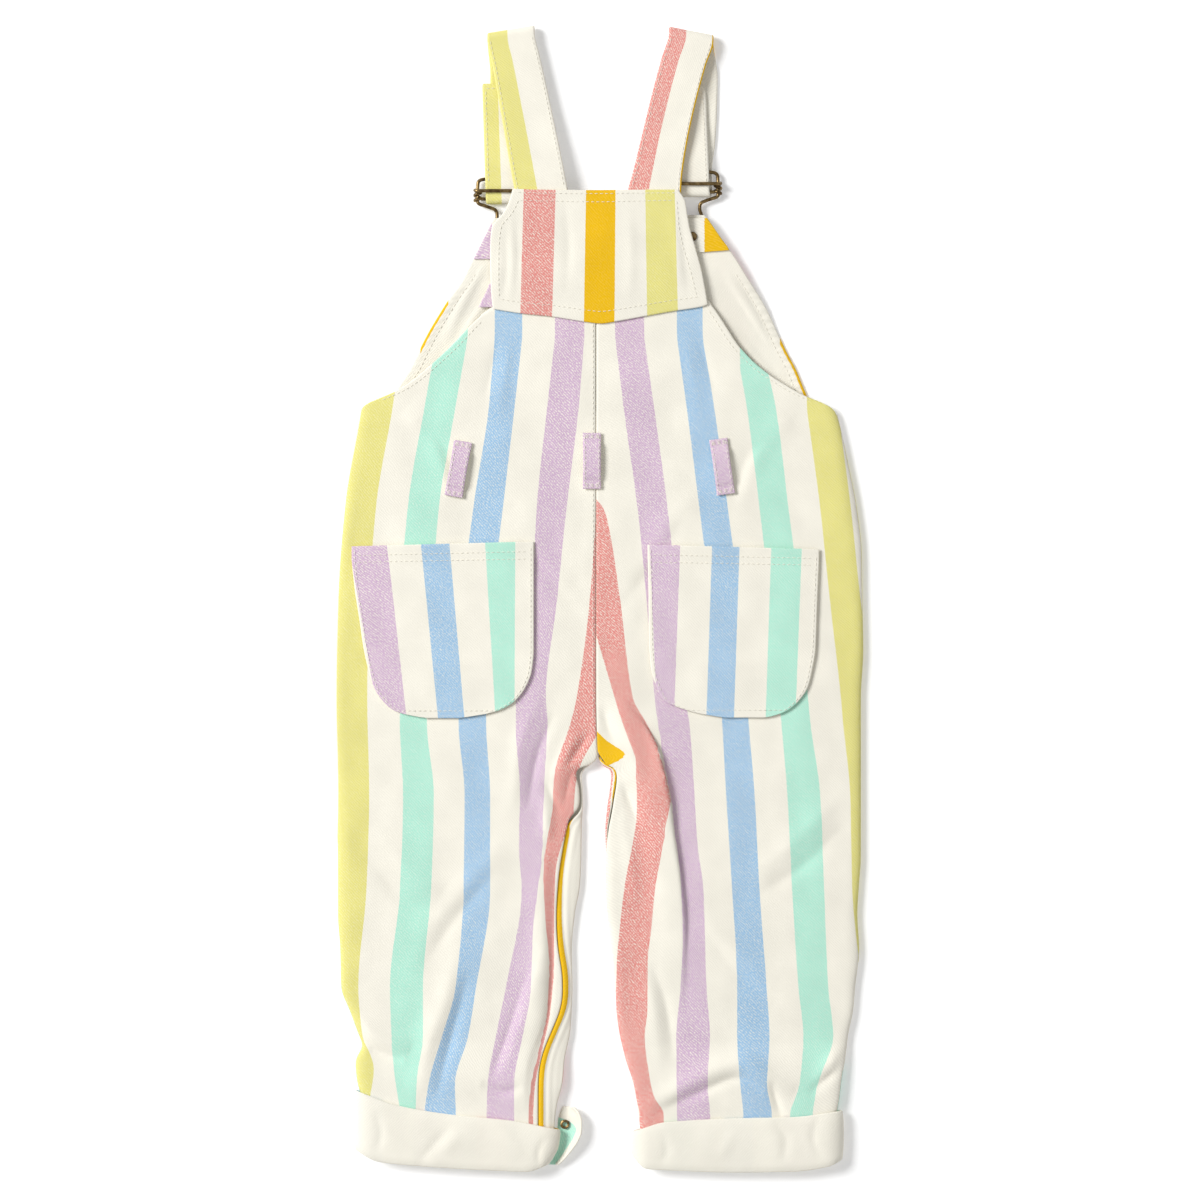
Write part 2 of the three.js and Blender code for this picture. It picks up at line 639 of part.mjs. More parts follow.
function strap(shape) {
  const path = strapPath(shape);
  const count = path.length;
  const outer = [];
  const inner = [];
  path.forEach((point, k) => {
    const before = path[Math.max(0, k - 1)];
    const after = path[Math.min(count - 1, k + 1)];
    const run = Math.hypot(after.y - before.y, after.z - before.z);
    const normalY = -(after.z - before.z) / run;
    const normalZ = (after.y - before.y) / run;
    const lean = THREE.MathUtils.degToRad(point.lean);
    const { width, tilt } = ribbonAt(shape, k, count);
    const half = STRAP_HALF * width;
    const outRow = [];
    const inRow = [];
    for (const across of RIBBON_COLUMNS) {
      const x = point.x + across * half * Math.cos(lean);
      const y = point.y + across * half * Math.sin(lean);
      const z = point.z + tilt * across;
      outRow.push([x, y + normalY * STRAP / 2, z + normalZ * STRAP / 2]);
      inRow.push([x, y - normalY * STRAP / 2, z - normalZ * STRAP / 2]);
    }
    outer.push(outRow);
    inner.push(inRow);
  });
  return sheet(outer, inner);
}

// front gives [y, x] down the segment that lies on the table. width, fold and tilt follow the path's
// points from the yoke to the fold.
const STRAP_LEFT = {
  yokeX: -35, topX: -55.2, topY: 356.5, lean: 9.5, bow: 0.3, barX: -55, barY: 250.6, tailX: -57.3,
  front: [[330, -52.4], [308, -52.4], [286, -53.6], [268, -54.6]],
  width: [1.03, 1.03, 1.03, 1.02, 1, 0.98, 0.95], fold: 0.94,
  tilt: [0, 0, 0, 0, 0, 0, 0], foldTilt: 0,
};
const STRAP_RIGHT = {
  yokeX: 33.4, topX: 57.2, topY: 355.5, lean: -11, bow: -2, barX: 52.8, barY: 255, tailX: 50.3,
  front: [[330, 58], [308, 57.6], [286, 56.4], [268, 54.4]],
  width: [1.05, 1.03, 0.97, 0.92, 0.89, 0.88, 0.88], fold: 0.89,
  tilt: [0, 0, 0.4, 1, 1.5, 1.5, 1.2], foldTilt: 0.8,
};

// Buckles: a bent wire frame with a round loop for the button, and a slider of two bars across it.
const WIRE_SIDES = 6;
const FRAME_STEPS = 76;

function wireSection() {
  const shape = new THREE.Shape();
  for (let i = 0; i < WIRE_SIDES; i += 1) {
    const angle = (i / WIRE_SIDES) * 2 * Math.PI;
    const x = WIRE * Math.cos(angle);
    const y = WIRE * Math.sin(angle);
    if (i === 0) shape.moveTo(x, y);
    else shape.lineTo(x, y);
  }
  return shape;
}

function wireAlong(points) {
  const extrudePath = new THREE.CatmullRomCurve3(points, false, 'centripetal');
  return new THREE.ExtrudeGeometry(wireSection(), { steps: FRAME_STEPS, bevelEnabled: false, extrudePath });
}

// Half of the frame, in millimetres from the lower bar's middle, from the top wire to the loop's foot.
const FRAME_HALF = [
  [1, 12.2], [10, 12.2], [16.5, 12.2], [19.1, 11], [19.8, 8], [19.8, 4], [19.8, 1], [19.8, -1.8],
  [20.1, -3.4], [17, -5], [12.5, -5.2], [8.6, -6.8], [7.4, -9.6], [8, -15], [9, -21], [9.4, -27],
  [8.2, -32.5], [4.6, -36.2],
];
const LOOP_SHIFT = [[-36.2, 3], [-27, 3], [-8, 0.8], [0, 0]];

const BUCKLES = named(['side', 'x', 'barY', 'sideways', 'buttonX', 'buttonDrop', 'backX', 'backDrop'], [
  ['left', -56.2, STRAP_LEFT.barY, -0.3, -57.1, 27, -57.1, 27],
  ['right', 54.1, STRAP_RIGHT.barY, 1, 57.1, 27.5, 57.8, 28.3],
]);

function buckleFrame(buckle) {
  const shift = (y) => buckle.sideways * lookup(LOOP_SHIFT, y);
  const right = FRAME_HALF.map(([x, y]) => new THREE.Vector3(
    buckle.x + x + shift(y), buckle.barY + y, WIRE_PLANE));
  const left = FRAME_HALF.map(([x, y]) => new THREE.Vector3(
    buckle.x - x + shift(y), buckle.barY + y, WIRE_PLANE)).reverse();
  return wireAlong([...right, ...left]);
}

const WELD = 1e-4;

const toManifold = (geometry) => {
  const bare = new THREE.BufferGeometry();
  bare.setAttribute('position', geometry.getAttribute('position').clone());
  if (geometry.index) bare.setIndex(geometry.index);
  const merged = mergeVertices(bare, WELD);
  return new wasm.Manifold(new wasm.Mesh({
    numProp: 3,
    vertProperties: Float32Array.from(merged.getAttribute('position').array),
    triVerts: Uint32Array.from(merged.index.array),
  }));
};

const fromManifold = (solid) => {
  const mesh = solid.getMesh();
  const geometry = new THREE.BufferGeometry();
  geometry.setAttribute('position', new THREE.Float32BufferAttribute(mesh.vertProperties, 3));
  geometry.setIndex(Array.from(mesh.triVerts));
  return geometry;
};

// The slider: the upper bar passes over the strap's tail, the lower bar lies inside its wrap,
// and a sleeve round each side wire joins them.
const SLEEVE = 2.2;
const SLEEVE_SIDES = 10;
const BAR_SIDES = 8;
const BAR_DROP = 4.7;
const OVER_TAIL = 8.2;

// The post from sleeve to upper bar stands a little outside the side wire and above it. The upper bar
// reaches past both side wires, and the lower bar ends inside the sleeves' walls.
const POST_OUT = 0.9;
const UPPER_PAST = 1.8;
const LOWER_SHORT = 1.7;
const BORE_PAST = 2;

function buckleSlider(buckle) {
  const sleeveLength = BAR_DROP + 2 * WIRE;
  const sleeveY = buckle.barY + BAR_DROP / 2;
  const parts = [];
  for (const side of [-1, 1]) {
    const sleeve = new THREE.CylinderGeometry(SLEEVE, SLEEVE, sleeveLength, SLEEVE_SIDES);
    sleeve.translate(buckle.x + side * BUCKLE_HALF, sleeveY, WIRE_PLANE);
    parts.push(toManifold(sleeve));
    const post = new THREE.CylinderGeometry(WIRE, WIRE, OVER_TAIL - WIRE_PLANE, BAR_SIDES);
    post.rotateX(Math.PI / 2);
    post.translate(buckle.x + side * (BUCKLE_HALF + POST_OUT), buckle.barY + BAR_DROP,
      (OVER_TAIL + WIRE_PLANE) / 2 + POST_OUT);
    parts.push(toManifold(post));
  }
  const upper = new THREE.CylinderGeometry(WIRE, WIRE, 2 * (BUCKLE_HALF + UPPER_PAST), BAR_SIDES);
  upper.rotateZ(Math.PI / 2);
  upper.translate(buckle.x, buckle.barY + BAR_DROP, OVER_TAIL);
  parts.push(toManifold(upper));
  const lower = new THREE.CylinderGeometry(WIRE, WIRE, 2 * (BUCKLE_HALF - LOWER_SHORT), BAR_SIDES);
  lower.rotateZ(Math.PI / 2);
  lower.translate(buckle.x, buckle.barY, WIRE_PLANE);
  parts.push(toManifold(lower));
  let joined = wasm.Manifold.union(parts);
  for (const side of [-1, 1]) {
    const boreLength = sleeveLength + 2 * BORE_PAST;
    const bore = new THREE.CylinderGeometry(WIRE + GAP, WIRE + GAP, boreLength, SLEEVE_SIDES);
    bore.translate(buckle.x + side * BUCKLE_HALF, sleeveY, WIRE_PLANE);
    joined = joined.subtract(toManifold(bore));
  }
  return fromManifold(joined);
}

// Buttons are riveted through the bib. Profiles are [radius, height] pairs.
const BUTTON_SIDES = 16;
const RIVET_SIDES = 12;
const SHANK_TOP = BIB_RISE - GAP;
const BUTTON_PROFILE = [
  [0, 0], [CAP_RADIUS - 1.2, 0], [CAP_RADIUS, 0.5], [CAP_RADIUS, 1.1], [CAP_RADIUS - 0.6, CAP_THICK],
  [SHANK_RADIUS, CAP_THICK], [SHANK_RADIUS, SHANK_TOP], [0, SHANK_TOP],
];
const RIVET_BASE = BIB_RISE + CLOTH + GAP + TRIM + GAP;
const RIVET_PROFILE = [
  [0, RIVET_BASE], [RIVET_RADIUS, RIVET_BASE], [RIVET_RADIUS, RIVET_BASE + 0.5],
  [RIVET_RADIUS - 0.7, RIVET_BASE + 1], [0, RIVET_BASE + 0.8],
];

function turned(profile, x, y, sides) {
  const points = profile.map(([radius, height]) => new THREE.Vector2(radius, height));
  const geometry = new THREE.LatheGeometry(points, sides);
  geometry.rotateX(Math.PI / 2);
  geometry.translate(x, y, 0);
  return geometry;
}

// Turned-up leg ends. The loop runs round the leg; each section is a wall outside the leg, closed
// by a lip under the leg's end.
const CUFF_LOOP_TURN = 9;
const LEG_TOP = LAID + CUFF_CLOTH + GAP;
const CUFF_INNER = { low: CUFF_CLOTH, high: LEG_TOP + GAP };
const LIP = CLOTH + GAP;

// The wall's section: each point's place from the top edge or the bottom fold, and how far out of the leg.
const CUFF_FLATS = 8;
const CUFF_TURN_DEGREES = [60, 25, 0, -25, -60];
const CUFF_SWELL = 0.9;
const CUFF_UPPER = 0.5;
const CUFF_SECTION = named(['edge', 'in', 'out'], [
  ['top', 0, 0], ['top', 0.6, 0.75 * CUFF_CLOTH], ['top', 3, CUFF_CLOTH], ['middle', 0, CUFF_CLOTH],
  ['bottom', 3, CUFF_CLOTH], ['bottom', 0.8, 0.6 * CUFF_CLOTH], ['bottom', 0, 0],
  ['bottom', 0.6, -0.7 * LIP], ['bottom', 2.2, -LIP], ['bottom', 4.2, -LIP], ['bottom', 4.2, 0],
]);

const CUFF_LEFT = {
  from: -150.9, to: -26.2,
  top: [[-153, -304.5], [-125, -314.5], [-90, -320.3], [-53, -324], [-29, -329], [-21, -331]],
  bottom: [[-153, -341.6], [-138, -349.5], [-113, -352.3], [-63, -355.3], [-45, -355.9], [-31, -353],
    [-20, -350]],
};
const CUFF_RIGHT = {
  from: 150, to: 23.4,
  top: [[21, -331], [41, -324.7], [90, -322.2], [119, -321.6], [152, -317.6]],
  bottom: [[21, -346], [29, -354], [44, -355], [83, -356.3], [119, -355.9], [142, -352.8], [152, -348]],
};

function cuff(shape) {
  const low = Math.min(shape.from, shape.to);
  const high = Math.max(shape.from, shape.to);
  const middle = (CUFF_INNER.low + CUFF_INNER.high) / 2;
  const half = (CUFF_INNER.high - CUFF_INNER.low) / 2;
  // Each station round the leg: its x, how high it lies from -1 to 1, and which way is out.
  const stations = [];
  const flatX = (i) => mix(low + CUFF_LOOP_TURN, high - CUFF_LOOP_TURN, i / CUFF_FLATS);
  const angles = CUFF_TURN_DEGREES.map((degrees) => THREE.MathUtils.degToRad(degrees));
  for (let i = 0; i <= CUFF_FLATS; i += 1) {
    stations.push({ x: flatX(i), level: 1, outX: 0, outZ: 1 });
  }
  for (const angle of angles) {
    const [sine, cosine] = [Math.sin(angle), Math.cos(angle)];
    stations.push({ x: high - CUFF_LOOP_TURN * (1 - cosine), level: sine, outX: cosine, outZ: sine });
  }
  for (let i = CUFF_FLATS; i >= 0; i -= 1) {
    stations.push({ x: flatX(i), level: -1, outX: 0, outZ: -1 });
  }
  for (const angle of [...angles].reverse()) {
    const [sine, cosine] = [Math.sin(angle), Math.cos(angle)];
    stations.push({ x: low + CUFF_LOOP_TURN * (1 - cosine), level: sine, outX: -cosine, outZ: sine });
  }
  const sections = stations.map(({ x, level, outX, outZ }) => {
    const z = middle + half * level;
    const top = lookup(shape.top, x);
    const bottom = lookup(shape.bottom, x);
    const places = { top, bottom, middle: (top + bottom) / 2 };
    return CUFF_SECTION.map((point) => {
      const y = places[point.edge] + (point.edge === 'top' ? -point.in : point.in);
      const swell = point.edge === 'middle' && level > CUFF_UPPER ? CUFF_SWELL : 0;
      const out = point.out + swell;
      return [x + outX * out, y, Math.max(0, z + outZ * out)];
    });
  });
  return ring(sections);
}

// The open inner end of the left cuff: the front's turned-up end lies on the table with its
// printed side up and its free edge curled.
const END_ROWS = named(['y', 'from', 'to', 'curl'], [
  [-316, -23, -16.4, 0.6],
  [-319, -24.5, -13, 0.85],
  [-325, -26, -11, 1],
  [-331, -26.4, -11, 1],
  [-337, -26.4, -12.4, 1],
  [-343, -26.6, -14.8, 0.9],
  [-348.5, -27, -18, 0.7],
  [-352.5, -28, -22, 0.5],
]);
const END_CURL = [[0, 0], [0.3, 0], [0.6, 1], [0.85, 3.8], [1, 7.2]];
const SLOPE_REACH = 0.1;
const SHORTEST_SPAN = 6;

function cuffEnd() {
  const upper = [];
  const lower = [];
  for (const row of END_ROWS) {
    const top = [];
    const under = [];
    for (const [share, height] of END_CURL) {
      const before = Math.max(0, share - SLOPE_REACH);
      const after = Math.min(1, share + SLOPE_REACH);
      const span = row.to - row.from;
      const climb = (lookup(END_CURL, after) - lookup(END_CURL, before)) * row.curl;
      const run = (after - before) * Math.max(SHORTEST_SPAN, span);
      const length = Math.hypot(climb, run);
      const x = mix(row.from, row.to, share);
      const z = height * row.curl;
      under.push([x, row.y, z]);
      top.push([x - (climb / length) * CLOTH, row.y, z + (run / length) * CLOTH]);
    }
    upper.push(top);
    lower.push(under);
  }
  return sheet(upper, lower);
}

// The press fastener: a small open ring standing on the printed side.
const POPPER = { x: -21.6, y: -327, base: CLOTH + GAP + 0.5 };
const POPPER_PROFILE = [
  [1.4, POPPER.base], [3, POPPER.base], [3, POPPER.base + 0.8], [2.2, POPPER.base + 1.1],
  [1.4, POPPER.base + 0.8], [1.4, POPPER.base],
];

const group = new THREE.Group();

function add(name, geometry, colour, roughness, metalness) {
  const material = new THREE.MeshStandardMaterial({ color: colour, roughness, metalness });
  const mesh = new THREE.Mesh(geometry, material);
  mesh.name = name;
  group.add(mesh);
}

const cloth = (name, geometry, colour) => add(name, geometry, colour, CLOTH_ROUGHNESS, 0);
const metal = (name, geometry) => add(name, geometry, BRONZE, METAL_ROUGHNESS, 1);

cloth('back_left', backPanel(BACK_LEFT), CREAM);
cloth('back_right', backPanel(BACK_RIGHT), CREAM);
cloth('front_left', frontPanel(FRONT_LEFT), CREAM);
cloth('front_right', frontPanel(FRONT_RIGHT), CREAM);
cloth('bib', laidSheet(gridBetween(BIB_LEFT, BIB_RIGHT, BIB_COLUMNS), bibHeight, CLOTH), CREAM);
cloth('bib_facing', laidSheet(gridBetween(FACING_LEFT, FACING_RIGHT, BIB_COLUMNS), facingHeight, TRIM),
  ORANGE);
cloth('back_yoke', yoke(), PINK);
cloth('yoke_facing', laidSheet(gridBetween(YOKE_FACING_LEFT, YOKE_FACING_RIGHT, YOKE_FACING_COLUMNS),
  yokeFacingHeight, TRIM), PURPLE);
cloth('strap_left', strap(STRAP_LEFT), LIME);
cloth('strap_right', strap(STRAP_RIGHT), PINK);
for (const loop of BELT_LOOPS) cloth(`belt_loop_${loop.side}`, beltLoop(loop), PURPLE);
cloth('back_pocket_left', pocket(POCKET_LEFT), BLUE);
cloth('back_pocket_right', pocket(POCKET_RIGHT), BLUE);
cloth('cuff_left', cuff(CUFF_LEFT), CREAM);
cloth('cuff_right', cuff(CUFF_RIGHT), CREAM);
cloth('cuff_end_left', cuffEnd(), MINT);
metal('popper_left', turned(POPPER_PROFILE, POPPER.x, POPPER.y, RIVET_SIDES));
for (const buckle of BUCKLES) {
  metal(`buckle_${buckle.side}`, buckleFrame(buckle));
  metal(`buckle_slider_${buckle.side}`, buckleSlider(buckle));
  const buttonY = buckle.barY - buckle.buttonDrop;
  metal(`bib_button_${buckle.side}`, turned(BUTTON_PROFILE, buckle.buttonX, buttonY, BUTTON_SIDES));
  const backY = buckle.barY - buckle.backDrop;
  metal(`button_back_${buckle.side}`, turned(RIVET_PROFILE, buckle.backX, backY, RIVET_SIDES));
}

// The origin is under the middle of the laid garment.
group.updateMatrixWorld(true);
const box = new THREE.Box3().setFromObject(group);
const middleX = (box.min.x + box.max.x) / 2;
const middleY = (box.min.y + box.max.y) / 2;
for (const mesh of group.children) mesh.geometry.translate(-middleX, -middleY, -box.min.z);

export default group;
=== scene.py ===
import math

import bmesh
import bpy
import numpy as np
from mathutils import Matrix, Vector, noise


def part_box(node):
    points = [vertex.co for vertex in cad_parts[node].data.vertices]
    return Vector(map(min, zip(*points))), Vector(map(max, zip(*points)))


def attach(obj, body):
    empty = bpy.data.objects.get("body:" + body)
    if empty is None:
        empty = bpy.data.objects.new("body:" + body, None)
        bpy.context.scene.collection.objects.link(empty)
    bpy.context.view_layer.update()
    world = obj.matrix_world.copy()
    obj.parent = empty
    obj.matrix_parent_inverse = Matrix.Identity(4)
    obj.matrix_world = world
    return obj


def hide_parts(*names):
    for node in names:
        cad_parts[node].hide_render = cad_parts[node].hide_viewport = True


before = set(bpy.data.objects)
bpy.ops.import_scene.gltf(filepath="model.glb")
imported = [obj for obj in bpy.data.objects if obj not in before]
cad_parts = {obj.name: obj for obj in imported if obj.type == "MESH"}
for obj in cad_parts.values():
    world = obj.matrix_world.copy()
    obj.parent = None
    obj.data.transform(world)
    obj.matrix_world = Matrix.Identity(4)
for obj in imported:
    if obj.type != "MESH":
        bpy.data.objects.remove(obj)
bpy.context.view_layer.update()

# The back panels: two pieces of striped cotton twill, printed on the side that shows. They are felled
# together down the middle of the seat, hemmed round the armholes and seamed to the fronts at the sides,
# where the laid cloth turns down to the table.

MM = 0.001
CLOTH = 1.5
LAID = 6.6
GAP = 0.3
PITCH = 38.4
STRIPE = 0.48
SIDE_TURN = 8
INSEAM_TURN = 6
PANEL_COLUMNS = 112
BACK_TOP = 179
ARMHOLE_END = 112
LEG_END = -336
SHARP_EDGE = 60

# Places are in the pattern's millimetres, x to the wearer's right and y to the shoulders. The press
# fastener, whose place is known in the pattern and in the frame, ties the two together.
FASTENER = (-21.6, -327)
fastener_low, fastener_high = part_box("popper_left")
fastener_middle = (fastener_low + fastener_high) / 2 / MM
SHIFT = np.array([fastener_middle.x - FASTENER[0], fastener_middle.y - FASTENER[1], 0])


def smooth(pairs, places):
    """Values on a smooth line through a short list of (place, value) pairs, with no overshoot."""
    known = np.array(sorted(pairs), float)
    spots, values = known[:, 0], known[:, 1]
    step = np.diff(spots)
    slope = np.diff(values) / step
    tangent = np.concatenate([slope[:1], np.zeros(len(slope) - 1), slope[-1:]])
    product = slope[:-1] * slope[1:]
    together = np.where(product > 0, slope[:-1] + slope[1:], 1)
    tangent[1:-1] = np.where(product > 0, 2 * product / together, 0)
    where = np.clip(places, spots[0], spots[-1])
    k = np.clip(np.searchsorted(spots, where, side="right") - 1, 0, len(step) - 1)
    t = (where - spots[k]) / step[k]
    start = (2 * t**3 - 3 * t**2 + 1) * values[k] + (t**3 - 2 * t**2 + t) * step[k] * tangent[k]
    end = (3 * t**2 - 2 * t**3) * values[k + 1] + (t**3 - t**2) * step[k] * tangent[k + 1]
    return start + end


def eased(pairs, places, reach):
    """The same line with its corners eased over a reach to both sides."""
    return sum(smooth(pairs, places + off) for off in np.linspace(-reach, reach, 7)) / 7


def fade(value, start, end):
    """Share that goes from 0 at the start to 1 at the end."""
    return np.clip((value - start) / (end - start), 0, 1)


def bell(off, reach):
    """Share that falls smoothly from 1 on a line to nothing beside it."""
    return np.exp(-((off / reach) ** 2))


def rounded(away, reach):
    """Share of the full size that a rounded edge has at a distance from it."""
    return np.sqrt(1 - (1 - np.minimum(away / reach, 1)) ** 2)


def borders(node, knots, rows, ease=0):
    """Smooth left and right borders of a frame node at each row, cut from it at the knots."""
    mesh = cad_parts[node].data
    points = np.array([v.co for v in mesh.vertices]) / MM - SHIFT
    ends = np.array([e.vertices[:] for e in mesh.edges])
    from_end, to_end = points[ends[:, 0]], points[ends[:, 1]]
    left = []
    right = []
    for y in knots:
        cut = (from_end[:, 1] - y) * (to_end[:, 1] - y) <= 0
        near, far = from_end[cut], to_end[cut]
        fall = far[:, 1] - near[:, 1]
        share = np.where(fall == 0, 0, (y - near[:, 1]) / np.where(fall == 0, 1, fall))
        x = near[:, 0] + share * (far[:, 0] - near[:, 0])
        left.append((y, x.min()))
        right.append((y, x.max()))
    return eased(left, rows, ease), eased(right, rows, ease)


def run_along(line):
    """Distance of each point along a line from its first."""
    return np.insert(np.cumsum(np.linalg.norm(np.diff(line, axis=0), axis=1)), 0, 0)


def hem_share(middle, hems):
    """How much of its wall the cloth has at each point, falling to nothing at a hemmed edge."""
    share = np.ones(middle.shape[:2])
    for edge, reach in enumerate(hems):
        if not reach:
            continue
        axis = edge // 2
        away = np.linalg.norm(np.diff(middle, axis=axis), axis=2)
        if edge % 2:
            away = np.flip(away, axis)
        away = np.cumsum(away, axis=axis)
        away = np.insert(away, 0, 0, axis=axis)
        if edge % 2:
            away = np.flip(away, axis)
        share *= rounded(away, reach)
    return share


def cloth_piece(name, middle, across, down, wall=CLOTH, hems=(0, 0, 0, 0), plain_up=False, closed=False,
                turned_edge=(0, 0)):
    """A sheet of cloth round a grid of points on its middle. across and down are each point's place on
    the printed cloth, in millimetres. hems rounds off the first row, last row, first and last column.
    turned_edge is how many columns of both sides show the printed side, and up to which height."""
    middle = np.asarray(middle, float)
    rows, columns = middle.shape[:2]
    if closed:
        wrapped = np.concatenate([middle[:, -1:], middle, middle[:, :1]], axis=1)
        along = np.gradient(wrapped, axis=1)[:, 1:-1]
    else:
        along = np.gradient(middle, axis=1)
    normal = np.cross(np.gradient(middle, axis=0), along)
    normal /= np.maximum(np.linalg.norm(normal, axis=2, keepdims=True), 1e-9)
    half = normal * hem_share(middle, hems)[..., None] * wall / 2
    points = np.concatenate([(middle + half).reshape(-1, 3), (middle - half).reshape(-1, 3)])
    points = (points + SHIFT) * MM
    under = rows * columns
    faces = []
    sides = []
    last = columns if closed else columns - 1
    for r in range(rows - 1):
        for c in range(last):
            n = (c + 1) % columns
            a, b, d, e = r * columns + c, (r + 1) * columns + c, (r + 1) * columns + n, r * columns + n
            faces.append((a, b, d, e))
            faces.append((under + a, under + e, under + d, under + b))
            turned = min(c, last - 1 - c) < turned_edge[0] and middle[r, c, 1] < turned_edge[1]
            sides += [int(plain_up and not turned), int(not plain_up)]
    rim = []
    for c in range(last):
        n = (c + 1) % columns
        rim.append((c, n))
        rim.append(((rows - 1) * columns + n, (rows - 1) * columns + c))
    for r in range(rows - 1 if not closed else 0):
        rim.append(((r + 1) * columns, r * columns))
        rim.append((r * columns + columns - 1, (r + 1) * columns + columns - 1))
    for a, b in rim:
        faces.append((a, b, under + b, under + a))
        sides.append(0)
    mesh = bpy.data.meshes.new(name)
    mesh.from_pydata(points.tolist(), [], faces)
    mesh.polygons.foreach_set("material_index", sides)
    place = np.stack([np.asarray(across, float), np.asarray(down, float)], axis=-1).reshape(-1, 2)
    corners = np.empty(len(mesh.loops), int)
    mesh.loops.foreach_get("vertex_index", corners)
    layer = mesh.uv_layers.new(name="cloth")
    layer.data.foreach_set("uv", place[corners % under].ravel())
    finish_mesh(mesh)
    piece = set_out(name, mesh)
    squares = np.cross(np.diff(middle, axis=0)[:, :-1], np.diff(middle, axis=1)[:-1])
    piece["cut_area"] = float(np.linalg.norm(squares, axis=2).sum()) * MM * MM
    return piece


def set_out(name, data):
    """An object in the scene that shows a mesh, a lamp or a camera."""
    made = bpy.data.objects.new(name, data)
    bpy.context.scene.collection.objects.link(made)
    return made


def finish_mesh(mesh):
    """Joins the points that a rounded edge brings together, and shades the faces smooth."""
    made = bmesh.new()
    made.from_mesh(mesh)
    bmesh.ops.remove_doubles(made, verts=made.verts, dist=0.01 * MM)
    bmesh.ops.recalc_face_normals(made, faces=made.faces)
    made.to_mesh(mesh)
    made.free()
    mesh.shade_smooth()
    mesh.set_sharp_from_angle(angle=math.radians(SHARP_EDGE))


def sew(piece, node):
    """Puts a finished piece in the place of its frame node."""
    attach(piece, "root")
    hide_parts(node)


# The right leg's large fold falls over to the right: its crest, height and overhang at each y.
MAIN_FOLD = [(-60, 12), (-75, 22), (-90, 29), (-104, 32.4), (-125, 37), (-145, 39.8), (-175, 45),
             (-211, 49.5), (-245, 50)]
MAIN_HEIGHT = [(-60, 0), (-80, 2.8), (-102, 5.2), (-150, 4.8), (-180, 3.6), (-218, 2), (-262, 0)]
MAIN_LEFT = 13
MAIN_RIGHT = 3.2
OVERHANG = [(-66, 0), (-84, 4), (-100, 6), (-150, 5.4), (-185, 4), (-218, 1.6), (-245, 0)]
OVERHANG_REACH = 4.2
